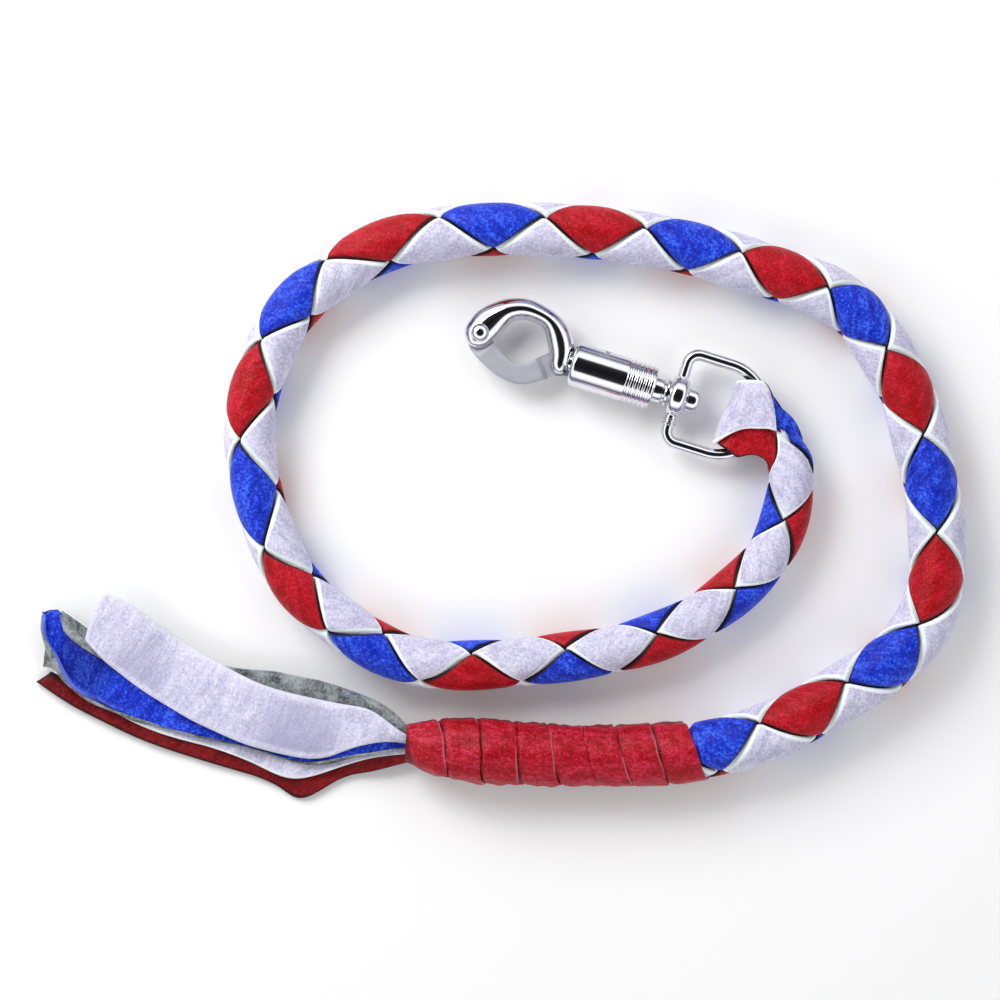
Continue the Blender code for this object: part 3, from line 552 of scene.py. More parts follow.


# ---------------------------------------------------------------- strips and straps
# Control points in millimetres, read off the reference and converted: one row for each place along
# the piece, across its width.
TASSEL_THICK = 0.0015
TASSEL = {
    "tassel_white_upper": [
        [(-133.8, -31.3, 8.0), (-137.9, -39.1, 9.2), (-140.6, -47.6, 8.0)],
        [(-126.0, -34.7, 9.2), (-132.1, -44.9, 9.6), (-136.2, -52.4, 8.2)],
        [(-113.4, -44.2, 6.8), (-119.9, -54.4, 7.4), (-125.3, -61.9, 6.2)],
        [(-96.4, -54.7, 7.4), (-102.9, -65.3, 7.4), (-108.3, -72.8, 6.2)],
        [(-79.4, -62.9, 9.6), (-83.8, -73.4, 9.0), (-87.9, -82.3, 7.2)],
        [(-64.1, -67.0, 9.4), (-66.5, -78.2, 8.4), (-68.9, -87.4, 6.6)],
        [(-52.2, -69.4, 9.6), (-54.6, -78.9, 8.4), (-58.0, -87.4, 6.4)],
        [(-43.7, -71.1, 11.0), (-45.7, -77.5, 10.2), (-49.8, -84.3, 8.0)],
        [(-36.9, -75.5, 11.8), (-38.2, -78.9, 11.6), (-40.3, -81.9, 9.8)],
        [(-30.8, -79.6, 11.4), (-31.5, -80.9, 11.2), (-32.1, -81.9, 10.0)],
        [(-24.0, -80.9, 10.6), (-24.0, -82.3, 10.6), (-24.0, -83.3, 9.8)],
    ],
    "tassel_blue": [
        [(-147.7, -42.5, 4.6), (-150.5, -38.4, 5.6), (-154.5, -38.1, 4.9),
         (-155.2, -38.1, 4.9), (-155.2, -38.4, 4.9)],
        [(-147.7, -44.9, 6.4), (-148.4, -40.5, 6.2), (-151.8, -44.2, 5.3),
         (-154.5, -47.6, 5.8), (-155.2, -42.8, 7.4)],
        [(-138.2, -52.7, 6.5), (-140.9, -48.3, 5.6), (-145.0, -54.4, 5.2),
         (-148.4, -59.8, 5.7), (-151.8, -51.0, 7.7)],
        [(-127.0, -57.1, 6.0), (-129.4, -52.7, 4.9), (-135.5, -62.6, 4.8),
         (-141.6, -66.6, 4.9), (-145.7, -62.6, 6.8)],
        [(-113.4, -59.2, 5.5), (-115.1, -54.4, 4.4), (-118.5, -66.3, 4.4),
         (-126.0, -74.1, 4.4), (-127.3, -72.8, 4.8)],
        [(-93.0, -61.2, 6.2), (-94.0, -57.1, 5.0), (-97.4, -70.0, 4.1),
         (-102.9, -80.6, 4.2), (-103.5, -79.9, 4.5)],
        [(-76.0, -66.0, 6.6), (-74.3, -59.5, 5.8), (-77.0, -73.4, 4.3),
         (-80.4, -86.0, 4.6), (-80.8, -85.3, 4.9)],
        [(-60.0, -68.7, 7.6), (-58.0, -62.9, 6.9), (-60.7, -77.5, 4.8),
         (-63.4, -89.8, 5.2), (-63.8, -89.1, 5.5)],
        [(-45.7, -72.1, 8.4), (-45.1, -67.0, 8.4), (-47.8, -78.9, 6.6),
         (-49.8, -87.4, 6.6), (-50.2, -86.7, 6.9)],
        [(-34.9, -77.5, 10.2), (-33.5, -74.8, 10.4), (-35.5, -80.2, 8.0),
         (-38.9, -85.3, 7.4), (-39.3, -85.0, 7.7)],
        [(-28.7, -80.6, 9.8), (-28.7, -79.2, 10.0), (-29.4, -82.3, 8.2),
         (-30.8, -84.3, 7.6), (-30.8, -84.0, 7.8)],
        [(-24.0, -81.6, 9.6), (-24.0, -80.9, 9.7), (-24.0, -82.6, 8.6),
         (-24.0, -84.3, 7.8), (-24.0, -84.3, 8.0)],
    ],
    "tassel_white_lower": [
        [(-138.2, -45.6, 4.1), (-142.3, -51.7, 3.6), (-147.1, -58.5, 3.9)],
        [(-144.3, -40.8, 4.2), (-149.1, -47.6, 3.7), (-152.5, -57.1, 4.1)],
        [(-148.4, -38.1, 3.1), (-153.2, -47.6, 2.9), (-155.2, -57.1, 3.1)],
        [(-144.3, -40.8, 2.2), (-149.1, -49.3, 2.1), (-151.8, -59.2, 2.2)],
        [(-128.7, -51.7, 2.3), (-132.8, -60.5, 2.3), (-138.2, -68.0, 2.3)],
        [(-110.0, -58.5, 2.4), (-115.1, -69.4, 2.4), (-119.9, -78.2, 2.4)],
        [(-93.0, -64.6, 2.5), (-96.7, -75.5, 2.5), (-99.5, -84.3, 2.5)],
        [(-78.4, -69.7, 2.8), (-80.4, -80.9, 2.6), (-83.1, -90.4, 2.5)],
        [(-64.1, -73.1, 3.6), (-64.8, -84.3, 3.0), (-68.9, -95.2, 2.8)],
        [(-49.8, -75.5, 5.4), (-50.5, -83.3, 4.2), (-53.9, -91.1, 3.6)],
        [(-37.6, -79.6, 7.6), (-38.2, -83.6, 6.2), (-40.3, -87.4, 5.0)],
        [(-29.4, -82.3, 7.8), (-29.4, -84.3, 6.8), (-30.1, -86.0, 6.0)],
        [(-24.0, -82.6, 7.6), (-24.0, -84.3, 6.8), (-24.0, -85.7, 6.2)],
    ],
    "tassel_red": [
        [(-151.8, -57.1, 1.2), (-154.5, -59.8, 0.9), (-158.3, -62.2, 1.4)],
        [(-145.0, -56.4, 0.9), (-147.7, -62.6, 0.8), (-149.8, -68.0, 1.8)],
        [(-132.1, -61.2, 0.8), (-135.5, -68.0, 0.8), (-138.9, -74.1, 1.8)],
        [(-115.1, -68.7, 0.8), (-119.2, -76.2, 0.8), (-123.3, -81.6, 1.6)],
        [(-96.4, -74.1, 0.8), (-100.8, -82.3, 0.8), (-104.9, -88.1, 1.4)],
        [(-80.4, -78.9, 0.9), (-83.8, -87.7, 0.8), (-87.9, -93.2, 1.2)],
        [(-67.5, -82.3, 1.2), (-68.9, -92.5, 0.8), (-74.3, -98.9, 0.9)],
        [(-59.0, -81.6, 1.8), (-60.0, -92.5, 1.0), (-66.5, -102.0, 0.9)],
        [(-50.5, -82.3, 3.0), (-51.9, -90.1, 1.8), (-55.6, -96.2, 1.2)],
        [(-39.6, -84.3, 4.8), (-41.0, -88.4, 3.6), (-43.7, -92.8, 2.4)],
        [(-30.8, -85.7, 5.6), (-31.5, -87.7, 5.0), (-32.8, -89.8, 4.2)],
        [(-24.0, -85.0, 6.0), (-24.0, -86.7, 5.4), (-24.0, -88.1, 5.0)],
    ],
}
STRAP_THICK = 0.0012
STRAPS = {
    "loop_white": [
        [(94.4, 34.7, 3.4), (95.0, 30.6, 3.0), (95.7, 27.2, 3.0), (95.7, 22.4, 3.4)],
        [(88.9, 38.8, 2.6), (88.2, 33.3, 2.4), (87.6, 27.9, 2.4), (86.9, 22.4, 2.6)],
        [(83.8, 40.1, 3.5), (81.8, 33.3, 3.0), (79.1, 27.2, 3.0), (75.7, 20.4, 3.5)],
        [(81.8, 40.6, 7.75), (79.1, 33.3, 7.75), (76.0, 27.2, 7.75), (73.1, 19.0, 7.75)],
        [(83.8, 40.6, 12.3), (81.8, 33.7, 12.8), (79.1, 27.5, 12.8), (75.7, 20.7, 12.1)],
        [(87.6, 40.5, 13.2), (86.9, 34.3, 13.6), (85.9, 28.9, 13.7), (83.5, 24.1, 13.3)],
        [(90.3, 39.1, 13.2), (90.3, 33.7, 13.7), (89.6, 28.6, 13.9), (88.2, 24.1, 13.6)],
        [(91.4, 36.2, 12.8), (91.8, 32.4, 13.6), (91.9, 28.1, 13.9), (91.2, 24.0, 13.7)],
        [(92.2, 33.2, 12.0), (93.0, 29.8, 13.2), (93.6, 26.6, 13.7), (94.0, 23.2, 13.4)],
    ],
    "loop_red": [
        [(97.1, 23.1, 5.6), (97.1, 17.0, 5.4), (95.6, 13.0, 5.6)],
        [(88.2, 27.9, 4.2), (86.9, 21.1, 4.2), (85.2, 16.8, 4.2)],
        [(81.4, 29.9, 4.4), (79.1, 23.8, 4.2), (77.7, 17.3, 4.3)],
        [(79.1, 29.9, 7.75), (76.3, 24.1, 7.75), (74.3, 19.4, 7.75)],
        [(81.4, 30.3, 11.1), (79.4, 24.1, 11.3), (77.7, 17.0, 11.2)],
        [(84.8, 29.6, 11.5), (83.5, 22.8, 11.8), (80.8, 14.5, 11.4)],
        [(88.2, 28.2, 11.5), (87.9, 21.1, 12.0), (85.5, 15.3, 11.5)],
        [(91.3, 26.2, 10.8), (91.6, 20.1, 11.9), (89.9, 13.9, 10.8)],
        [(94.7, 23.8, 10.4), (95.4, 17.7, 11.6), (92.0, 10.5, 9.6)],
        [(97.8, 21.8, 9.0), (98.1, 16.0, 9.4), (94.7, 7.5, 8.0)],
    ],
    "loop_blue": [
        [(102.6, 20.0, 6.0), (100.4, 18.6, 5.6), (98.4, 17.4, 5.4)],
        [(97.1, 30.6, 5.4), (95.4, 26.9, 5.1), (94.4, 23.1, 5.0)],
        [(91.0, 38.1, 4.3), (90.3, 32.6, 4.3), (89.9, 27.2, 4.4)],
        [(87.2, 39.4, 4.3), (86.2, 34.0, 4.2), (85.5, 27.9, 4.3)],
        [(85.5, 39.4, 7.75), (84.2, 34.0, 7.75), (83.5, 28.2, 7.75)],
        [(87.6, 40.1, 11.3), (86.5, 34.0, 11.3), (85.9, 27.9, 11.2)],
        [(91.3, 38.8, 11.3), (90.6, 32.6, 11.4), (90.3, 27.2, 11.4)],
        [(94.0, 33.4, 10.8), (92.8, 29.6, 11.2), (92.1, 25.2, 11.2)],
        [(97.8, 29.7, 9.4), (96.4, 26.0, 10.4), (95.0, 22.8, 10.4)],
        [(101.4, 25.3, 8.2), (99.5, 22.2, 9.4), (97.8, 20.1, 9.8)],
        [(103.4, 20.6, 6.8), (101.6, 18.8, 8.0), (99.8, 17.6, 8.6)],
    ],
}


def make_sheet(
        name, control, thick, look, nap, wrinkle, along_step=0.0011, across_step=0.0011,
        shadow=None, pale=None):
    """A leather sheet through a grid of control points, with its grain side up and its edges cut."""
    grid = np.array(control) * 0.001
    middle = grid[:, grid.shape[1] // 2]
    chord = np.concatenate([[0.0], np.cumsum(np.linalg.norm(np.diff(middle, axis=0), axis=1))])
    rows = natural(chord, grid, np.linspace(0, chord[-1], round(chord[-1] / along_step) + 1))
    across = np.concatenate([[0.0], np.cumsum(np.linalg.norm(np.diff(grid, axis=1), axis=2).mean(axis=0))])
    inner = np.linspace(0.0, across[-1], round(across[-1] / across_step) + 1)
    edge = 0.0002
    places = np.concatenate([[0.0, edge], inner[1:-1], [across[-1] - edge, across[-1]]])
    sheet = np.swapaxes(natural(across, np.swapaxes(rows, 0, 1), places), 0, 1)
    steps = np.linalg.norm(np.diff(sheet[:, len(places) // 2], axis=0), axis=1)
    along = np.concatenate([[0.0], np.cumsum(steps)])
    a, c = np.meshgrid(along, places, indexing="ij")
    up = np.cross(np.gradient(sheet, axis=1), np.gradient(sheet, axis=0))
    up /= np.linalg.norm(up, axis=2)[:, :, None]
    fine, coarse = wrinkle
    waves = fine * np.sin(c * 2600 + 1.5 * np.sin(a * 260) + np.sin(a * 700 + c * 900))
    waves = waves * (0.5 + 0.5 * np.sin(a * 300 + c * 350)) + coarse * np.sin(a * 330 + 1.7 * np.sin(c * 310))
    sheet = sheet + up * waves[:, :, None]
    thin = np.full(a.shape, thick / 2)
    thin[:, [0, -1]] *= 0.45
    thin[[0, -1], :] *= 0.6
    top, bottom = sheet + up * thin[:, :, None], sheet - up * thin[:, :, None]
    n, m = a.shape
    points = np.concatenate([top.reshape(-1, 3), bottom.reshape(-1, 3)])
    points[:, 2] = np.maximum(points[:, 2], 0.00005)

    def at(i, j, side):
        return side * n * m + i * m + j

    cells = [(i, j) for i in range(n - 1) for j in range(m - 1)]
    faces = [(at(i, j, 0), at(i + 1, j, 0), at(i + 1, j + 1, 0), at(i, j + 1, 0)) for i, j in cells]
    faces += [(at(i, j, 1), at(i, j + 1, 1), at(i + 1, j + 1, 1), at(i + 1, j, 1)) for i, j in cells]
    slots = [0] * len(cells) + [1] * len(cells)
    for i in range(n - 1):
        faces.append((at(i, 0, 1), at(i + 1, 0, 1), at(i + 1, 0, 0), at(i, 0, 0)))
        faces.append((at(i, m - 1, 0), at(i + 1, m - 1, 0), at(i + 1, m - 1, 1), at(i, m - 1, 1)))
    for j in range(m - 1):
        faces.append((at(0, j, 0), at(0, j + 1, 0), at(0, j + 1, 1), at(0, j, 1)))
        faces.append((at(n - 1, j, 1), at(n - 1, j + 1, 1), at(n - 1, j + 1, 0), at(n - 1, j, 0)))
    slots += [0] * (len(faces) - len(slots))
    rim = np.minimum(np.minimum(c, places[-1] - c), np.minimum(a, along[-1] - a))
    shade = smoothstep(0.0014 if look is WHITE else 0.0009, 0.0002, rim) * (look is not STRIP_WHITE)
    # Painted shade from the strip's shadow function, and pale patches from its pale function.
    if shadow is not None:
        shade = np.maximum(shade, shadow(a, c, places[-1]))
    highlight_and_pale = np.zeros(a.shape) if pale is None else pale(a, c, places[-1], rim)
    shade = shade * (1 - np.minimum(highlight_and_pale * 2, 1))
    uv = np.stack([a, c], axis=-1).reshape(-1, 2)
    shade = np.concatenate([shade.ravel(), np.ones(n * m)])
    highlight_and_pale = np.tile(highlight_and_pale.ravel(), 2)
    made = add_mesh(name, points, faces, [look, nap], np.concatenate([uv, uv]), shade, slots, highlight_and_pale)
    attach(made, "lead")
    return made, float(along[-1])


# The photo's dark and pale patches on the strips, which are painted on as colour: the dark ones are painted
# shade, for the shadows of folds and of the strips above. Each function gives how strong the patch is from
# the distance along the strip from its tip, across it, and from the nearest edge.
def red_shadow(along, across, width):
    """The upper side of the red strip, away from its tip, is darker."""
    return 0.85 * smoothstep(width - 0.003, width - 0.007, across) * smoothstep(0.115, 0.07, along)


def blue_shadow(along, _across, _width):
    """The blue strip is darkest a little way in from its tip."""
    return 0.55 * smoothstep(0.004, 0.014, along) * smoothstep(0.045, 0.025, along)


def white_shadow(along, across, width):
    """The upper white strip is a little darker in two bands: one near its tip and one before the grip."""
    tip = smoothstep(0.006, 0.020, along) * smoothstep(0.042, 0.030, along) * (0.4 + 0.6 * across / width)
    grip = smoothstep(0.056, 0.076, along) * smoothstep(0.106, 0.088, along) * (0.7 + 0.3 * across / width)
    return 0.72 * np.maximum(tip, grip)


def blue_pale_fold(along, across, width, _rim):
    """The blue strip's folded outer edge is pale near its tip."""
    return 0.45 * smoothstep(width - 0.0065, width - 0.0045, across) * smoothstep(0.045, 0.030, along)


def white_rim(_along, _across, _width, rim):
    """The upper white strip has a thin pale line along its cut edges."""
    return 0.8 * smoothstep(0.0015, 0.0005, rim)


SHADOWS = {"tassel_red": red_shadow, "tassel_blue": blue_shadow, "tassel_white_upper": white_shadow}
PALE = {"tassel_blue": blue_pale_fold, "tassel_white_upper": white_rim}
LOOKS = {
    "tassel_white_upper": (STRIP_WHITE, GREY_NAP), "tassel_white_lower": (WHITE, GREY_NAP),
    "tassel_blue": (BLUE, GREY_NAP), "tassel_red": (DARK_RED, RED_NAP),
}
for name, control in TASSEL.items():
    piece, length = make_sheet(
        name + "_strip", control, TASSEL_THICK, *LOOKS[name], (0.00008, 0.00022), shadow=SHADOWS.get(name),
        pale=PALE.get(name))
    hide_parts(name)

STRAP_LOOKS = {"loop_white": (WHITE, GREY_NAP), "loop_red": (RED, RED_NAP), "loop_blue": (BLUE, NAVY_NAP)}
for name, control in STRAPS.items():
    piece, length = make_sheet(
        name + "_strap", control, STRAP_THICK, *STRAP_LOOKS[name], (0.00013, 0.00006), 0.0006, 0.0007)
    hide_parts("loop_strap_" + name[5:])


# ---------------------------------------------------------------- the snap and the ring
# The barrel line: x along it from the sleeve's front face to the ring, y across it, z up.
SNAP_PLACE = (0.0248, 0.0466)
SNAP_TURN = math.radians(-17.3)
BARREL_Z = 0.00775
PIVOT_AT = (-0.0327, 0.0005)
SLEEVE_R = 0.0077
SLEEVE_LENGTH = 0.0294
RIB_FIRST = 0.0192
RIB_PITCH = 0.00165
RIB_COUNT = 6
STEM_R = 0.0030
NECK_START = 0.0200
NECK_R = 0.0046
SHAFT_R = 0.0026
HEAD_R = 0.00425
BOSS_AT = 0.0377
BOSS_R = 0.0072
BOSS_HALF = 0.0029
RING_TILT = math.radians(2.5)
RING_WIRE_R = 0.0020
RING_BOW_R = 0.0156
RING_BOW_AT = 0.0148
RING_CORNER_R = 0.0040
NOSE_R = 0.0054
HOOK_HALF_HEIGHT = 0.0038
JAW_LINE = [
    (0.0018, 0.0039, 0.0056), (0.0036, 0.0066, 0.0051), (0.0062, 0.0095, 0.0043),
    (0.0095, 0.0115, 0.0038), (0.0132, 0.0124, 0.0036), (0.0175, 0.0121, 0.0033),
    (0.0214, 0.0110, 0.0034), (0.0247, 0.0085, 0.0041), (0.0271, 0.0050, 0.0045),
    (0.0286, 0.0012, 0.0043), (0.0290, -0.0016, 0.0040),
]
ARM_LINE = [
    (0.0023, -0.0040, 0.0041), (0.0051, -0.0060, 0.0037), (0.0082, -0.0077, 0.0035),
    (0.0112, -0.0089, 0.0034), (0.0144, -0.0094, 0.0034), (0.0176, -0.0091, 0.0035),
    (0.0203, -0.0078, 0.0035), (0.0234, -0.0054, 0.0038), (0.0268, -0.0028, 0.0042),
    (0.0300, -0.0010, 0.0046), (0.0322, -0.0004, 0.0047),
]


def on_barrel(points, x=0.0, y=0.0, turn_x=0.0):
    """Points of the barrel frame, moved to (x, y) on it and turned about its line, in the shared frame."""
    p = np.asarray(points, float) @ np.array(Matrix.Rotation(turn_x, 3, "X")).T + (x, y, 0.0)
    c, s = math.cos(SNAP_TURN), math.sin(SNAP_TURN)
    turned = np.stack([p[..., 0] * c - p[..., 1] * s, p[..., 0] * s + p[..., 1] * c, p[..., 2]], axis=-1)
    return turned + (*SNAP_PLACE, BARREL_Z)


def make_metal(name, rings, look, body, cad_node, closed=False):
    """A metal piece whose surface runs over rings of points, in a CAD node's place."""
    faces = ring_faces(*rings.shape[:2], closed=closed)
    made = add_mesh(name, rings.reshape(-1, 3), faces, [look])
    made.data.set_sharp_from_angle(angle=math.radians(32))
    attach(made, body)
    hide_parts(cad_node)


def lathe(profile, sides=96, dent=None):
    """Rings of points about the barrel line, one through each (x, radius) pair."""
    turns = np.linspace(0, 2 * math.pi, sides, endpoint=False)
    x = np.repeat([[p[0]] for p in profile], sides, axis=1)
    r = np.repeat([[p[1]] for p in profile], sides, axis=1)
    if dent is not None:
        r = r - dent(x, turns, r)
    return np.stack([x, r * np.cos(turns), r * np.sin(turns)], axis=-1)


def dense(profile, step):
    """The outline with its long straights divided."""
    found = [profile[0]]
    for (x0, r0), (x1, r1) in zip(profile, profile[1:]):
        count = max(1, round(math.hypot(x1 - x0, r1 - r0) / step))
        found += [(x0 + (x1 - x0) * k / count, r0 + (r1 - r0) * k / count) for k in range(1, count + 1)]
    return found


def make_sleeve():
    profile = [(0.0004, 0.0056), (0.0, 0.0059), (0.0, SLEEVE_R - 0.0011), (0.0002, SLEEVE_R - 0.0006)]
    profile += [(0.0006, SLEEVE_R - 0.00025), (0.0013, SLEEVE_R)]
    for i in range(RIB_COUNT):
        x = RIB_FIRST + i * RIB_PITCH
        profile += [(x, SLEEVE_R), (x + 0.00025, SLEEVE_R - 0.0001), (x + 0.0005, SLEEVE_R - 0.00045)]
        profile += [(x + 0.0009, SLEEVE_R - 0.00045), (x + 0.00115, SLEEVE_R - 0.0001)]
        profile.append((x + 0.0014, SLEEVE_R))
    end = SLEEVE_LENGTH
    profile += [(end - 0.0006, SLEEVE_R - 0.0004), (end - 0.0001, SLEEVE_R - 0.0011)]
    profile.append((end, SLEEVE_R - 0.0018))
    profile += [(end, 0.0050), (0.0050, 0.0050), (0.0050, 0.0034), (0.0030, 0.0034), (0.0030, 0.0056)]

    def dent(x, turns, r):
        """A small locating dimple on the side away from the arm."""
        off = np.hypot(x - 0.0108, (turns - math.radians(26)) * SLEEVE_R)
        return 0.0007 * smoothstep(0.0011, 0.0004, off) * (r > 0.007)

    rings = lathe(dense(profile, 0.0004), 128, dent)
    make_metal("snap_sleeve_shell", on_barrel(rings), CHROME, "sleeve", "snap_sleeve", closed=True)


def make_stem():
    """The stem in the sleeve, the neck, and the shaft and head that hold the ring's eye."""
    front, back = BOSS_AT - BOSS_HALF - 0.0004, BOSS_AT + BOSS_HALF + 0.0004
    head = back + 0.0040
    profile = [
        (-0.0030, 0.0001), (-0.0030, STEM_R), (NECK_START, STEM_R), (NECK_START + 0.0002, NECK_R),
        (NECK_START + 0.0105, NECK_R), (front - 0.0022, NECK_R - 0.0002), (front - 0.0018, NECK_R - 0.0009),
        (front - 0.0013, NECK_R - 0.0009), (front - 0.0009, NECK_R + 0.0003),
        (front - 0.0002, NECK_R + 0.0003), (front, NECK_R), (front, SHAFT_R), (back, SHAFT_R),
        (back, HEAD_R - 0.0003), (back + 0.0003, HEAD_R),
        (head - 0.0010, HEAD_R), (head - 0.0003, HEAD_R - 0.0004), (head, HEAD_R - 0.0012), (head, 0.0001),
    ]
    rings = lathe(dense(profile, 0.0010), 72)
    make_metal("snap_stem", on_barrel(rings), CHROME, "snap", "snap_body")


def bar(line, end_radius, squareness, top, bottom, sides=36):
    """A forged bar in the hook's plane with domed ends; `top` and `bottom` give its height along it."""
    knots = np.array([(0.0, 0.0, end_radius), *line])
    chord = distances(knots)
    rows = natural(chord, knots, np.linspace(0, chord[-1], 90))
    heading = (rows[1, :2] - rows[0, :2]) / np.linalg.norm(rows[1, :2] - rows[0, :2])
    nose = [
        (*(-heading * end_radius * math.cos(turn)), end_radius * math.sin(turn))
        for turn in np.radians(np.linspace(6, 84, 12))
    ]
    ahead = (rows[-1, :2] - rows[-2, :2]) / np.linalg.norm(rows[-1, :2] - rows[-2, :2])
    tail = [
        (*(rows[-1, :2] + ahead * rows[-1, 2] * math.cos(turn)), rows[-1, 2] * math.sin(turn))
        for turn in np.radians(np.linspace(84, 6, 12))
    ]
    rows = np.vstack([nose, rows, tail])
    along = distances(rows) - end_radius
    domed = np.ones(len(rows))
    domed[: len(nose)] = np.sqrt(np.array(nose)[:, 2] / end_radius)
    domed[-len(tail) :] = np.sqrt(np.array(tail)[:, 2] / line[-1][2])
    ahead = np.gradient(rows[:, :2], axis=0)
    ahead /= np.linalg.norm(ahead, axis=1)[:, None]
    turns = 2 * math.pi * (np.arange(sides) + 0.5) / sides
    c, s = np.cos(turns), np.sin(turns)
    wide = np.sign(c) * np.abs(c) ** squareness
    high = np.sign(s) * np.abs(s) ** squareness
    height = np.where(high[None, :] > 0, (top(along) * domed)[:, None], bottom(along)[:, None])
    height = height * np.abs(high)[None, :]
    x = rows[:, 0, None] - ahead[:, 1, None] * rows[:, 2, None] * wide
    y = rows[:, 1, None] + ahead[:, 0, None] * rows[:, 2, None] * wide
    return np.stack([x, y, np.where(high[None, :] > 0, height, -height)], axis=-1)


def make_arm():
    """The fixed jaw: a flat crescent that lies lower than the moving one, lapped at both its ends."""
    def top(s):
        return 0.0022 * smoothstep(0.0040, 0.0066, s) * smoothstep(0.0295, 0.0275, s) - 0.0003

    rings = bar(ARM_LINE, NOSE_R - 0.0002, 0.30, top, lambda s: np.full_like(s, HOOK_HALF_HEIGHT))
    make_metal("snap_arm", on_barrel(rings, *PIVOT_AT), MATTE, "snap", "snap_body")


def make_jaw():
    """The moving jaw: a polished bar with a round nose on its pin and a beak that shuts on the arm's root."""
    def low(s):
        free = smoothstep(0.0055, 0.0085, s) * smoothstep(0.0330, 0.0295, s)
        return (HOOK_HALF_HEIGHT + 0.0003) * free - 0.0003

    def top(s):
        return HOOK_HALF_HEIGHT * (1 + 0.10 * smoothstep(0.004, 0.012, s))

    rings = bar(JAW_LINE, NOSE_R, 1.10, top, low)
    make_metal("snap_jaw_bar", on_barrel(rings, *PIVOT_AT), CHROME, "jaw", "snap_jaw")


def make_rivet():
    top = HOOK_HALF_HEIGHT
    profile = [
        (-top - 0.0008, 0.0001), (-top - 0.0008, 0.0020), (-top - 0.0004, 0.0026), (-top, 0.0026),
        (-top, 0.0016), (top - 0.0006, 0.0016),
    ]
    dome = np.radians([0, 12, 24, 36, 48, 60, 72, 84, 89])
    profile += [(top - 0.0006 + 0.0022 * math.sin(a), 0.0031 * math.cos(a)) for a in dome]
    rings = lathe(profile, 48)
    upright = np.stack([rings[..., 1], rings[..., 2], rings[..., 0]], axis=-1)
    make_metal("jaw_rivet_dome", on_barrel(upright, *PIVOT_AT), CHROME, "snap", "jaw_rivet")


def make_ring():
    """The D-ring's wire, from one side of its eye round the bow to the other, and the eye."""
    corner, side = RING_CORNER_R, RING_BOW_R
    line = [(0.0, 0.0045), (0.0, 0.008)]
    first = np.radians(np.arange(180, 89, -10))
    line += [(corner * (1 + math.cos(a)), side - corner * (1 - math.sin(a))) for a in first]
    bow = np.radians(np.arange(88, -89, -4))
    line += [(RING_BOW_AT + side * math.cos(a), side * math.sin(a)) for a in bow]
    second = np.radians(np.arange(270, 179, -10))
    line += [(corner * (1 + math.cos(a)), -side + corner * (1 + math.sin(a))) for a in second]
    line += [(0.0, -0.008), (0.0, -0.0045)]
    line = np.array(line)
    ahead = np.gradient(line, axis=0)
    ahead /= np.linalg.norm(ahead, axis=1)[:, None]
    turns = np.linspace(0, 2 * math.pi, 28, endpoint=False)
    out = RING_WIRE_R * np.cos(turns)
    rings = np.stack(np.broadcast_arrays(
        line[:, 0, None] + ahead[:, 1, None] * out, line[:, 1, None] - ahead[:, 0, None] * out,
        RING_WIRE_R * np.sin(turns),
    ), axis=-1)
    make_metal("d_ring_wire", on_barrel(rings, BOSS_AT, 0.0, RING_TILT), CHROME, "ring", "d_ring")
    half, hole = BOSS_HALF, SHAFT_R + 0.00035
    profile = [
        (-half, hole), (-half, BOSS_R - 0.0016), (-half + 0.0003, BOSS_R - 0.0008),
        (-half + 0.0010, BOSS_R - 0.0002), (-half + 0.0018, BOSS_R), (half - 0.0018, BOSS_R),
        (half - 0.0010, BOSS_R - 0.0002), (half - 0.0003, BOSS_R - 0.0008),
        (half, BOSS_R - 0.0016), (half, hole),
    ]
    rings = lathe(dense(profile, 0.0008), 72)
    make_metal("d_ring_eye", on_barrel(rings, BOSS_AT), CHROME, "ring", "d_ring", closed=True)
    for number, at in enumerate((-0.0084, -0.0099)):
        profile = [
            (-0.0005, 0.0019), (-0.00045, 0.0022), (-0.0002, 0.0025),
            (0.0002, 0.0025), (0.00045, 0.0022), (0.0005, 0.0019),
        ]
        collar = lathe(profile, 32)[..., [1, 0, 2]] + (0.0, at, 0.0)
        place = on_barrel(collar, BOSS_AT, 0.0, RING_TILT)
        make_metal(f"d_ring_collar_{number + 1}", place, CHROME, "ring", "d_ring", closed=True)


make_sleeve()
make_stem()
make_arm()
make_jaw()
make_rivet()
make_ring()
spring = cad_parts["sleeve_spring"]
spring.data.materials.clear()
spring.data.materials.append(STEEL)


# ---------------------------------------------------------------- the studio
FLOOR_REACH = 2.5
FLOOR_DROP = 0.0002  # the floor lies this far under the rope, so the two never share a face
TENT_STRENGTH = 1.1
LAMP_PLACE = (-0.5, 0.55, 0.6)
LAMP_SIZE = 0.5
LAMP_ENERGY = 6.0
# A soft light tent: how bright it is against the sine of the height above the floor. The wall is dark
# low down, where the tent stands open, and at the top, where the camera looks in.
TENT = [
    (0.0, (0.04, 0.04, 0.05)),
    (0.16, (0.10, 0.10, 0.12)),
    (0.30, (0.62, 0.62, 0.68)),
    (0.50, (1.3, 1.3, 1.3)),
    (0.76, (1.2, 1.2, 1.2)),
    (0.84, (0.03, 0.03, 0.035)),
    (1.0, (0.01, 0.01, 0.012)),
]


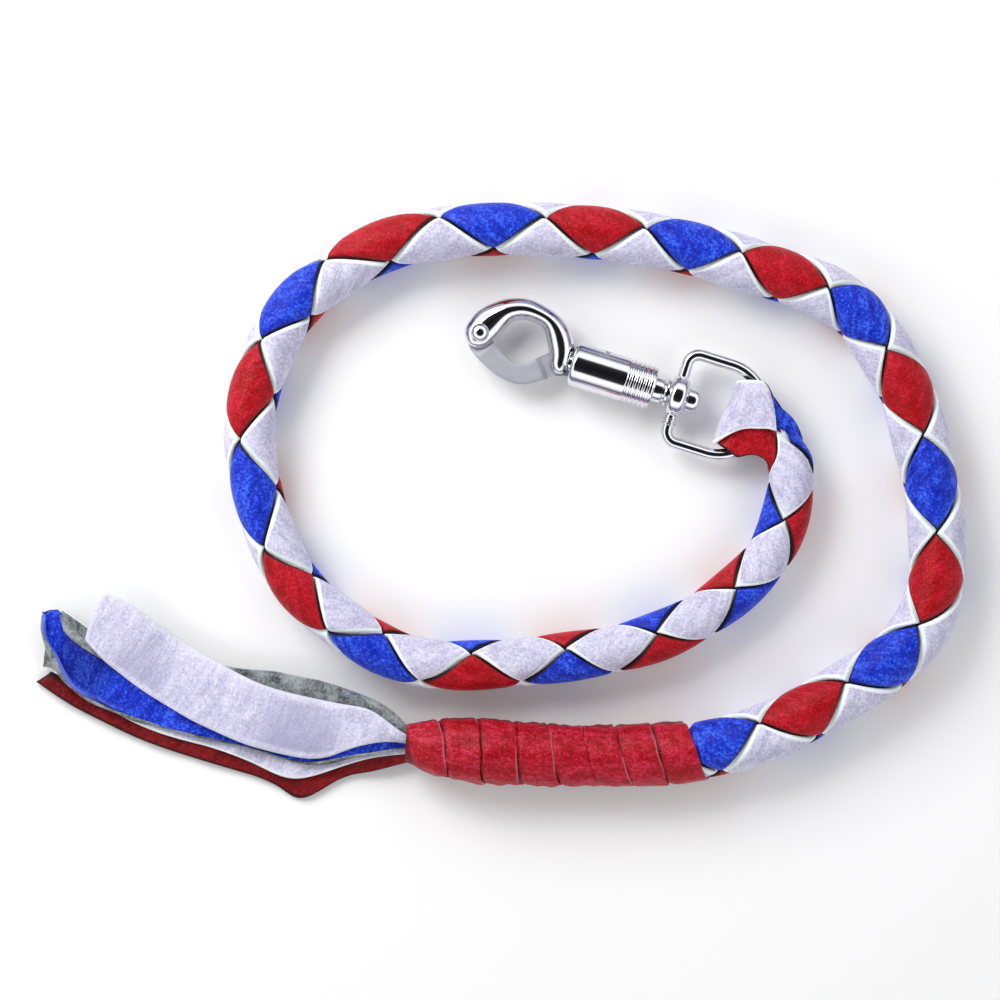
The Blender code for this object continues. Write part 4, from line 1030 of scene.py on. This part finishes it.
def make_floor():
    r = FLOOR_REACH
    mesh = bpy.data.meshes.new("floor")
    mesh.from_pydata([(-r, -r, 0), (r, -r, 0), (r, r, 0), (-r, r, 0)], [], [(0, 1, 2, 3)])
    floor = bpy.data.objects.new("floor", mesh)
    bpy.context.scene.collection.objects.link(floor)
    paper, _, shader = new_material("white_paper")
    shader.inputs["Base Color"].default_value = (0.95, 0.95, 0.95, 1.0)
    shader.inputs["Roughness"].default_value = 0.9
    shader.inputs["Specular IOR Level"].default_value = 0.1
    mesh.materials.append(paper)
    floor.location.z = -FLOOR_DROP


def make_tent():
    world = bpy.data.worlds.new("studio")
    bpy.context.scene.world = world
    world.use_nodes = True
    tree = world.node_tree
    tree.nodes.clear()
    out = tree.nodes.new("ShaderNodeOutputWorld")
    wall = node(tree, "ShaderNodeBackground", Strength=TENT_STRENGTH)
    coords = tree.nodes.new("ShaderNodeTexCoord")
    parts = tree.nodes.new("ShaderNodeSeparateXYZ")
    link(tree, coords.outputs["Generated"], parts.inputs[0])
    link(tree, ramp(tree, parts.outputs["Z"], TENT).outputs[0], wall.inputs["Color"])
    link(tree, wall.outputs[0], out.inputs["Surface"])
    bpy.context.scene.view_settings.view_transform = "Standard"


def make_lamp():
    lamp = bpy.data.lights.new("softbox", "AREA")
    lamp.shape = "RECTANGLE"
    lamp.size = LAMP_SIZE
    lamp.size_y = LAMP_SIZE
    lamp.energy = LAMP_ENERGY
    lit = bpy.data.objects.new("softbox", lamp)
    bpy.context.scene.collection.objects.link(lit)
    lit.location = LAMP_PLACE
    lit.rotation_mode = "QUATERNION"
    lit.rotation_quaternion = (-Vector(LAMP_PLACE)).to_track_quat("-Z", "Y")


def make_camera():
    data = bpy.data.cameras.new("camera")
    data.lens = LENS
    data.sensor_width = SENSOR
    camera = bpy.data.objects.new("camera", data)
    bpy.context.scene.collection.objects.link(camera)
    camera.location = (*VIEW_CENTRE, VIEW_WIDTH * LENS / SENSOR + 0.008)
    bpy.context.scene.camera = camera


make_floor()
make_tent()
make_lamp()
make_camera()
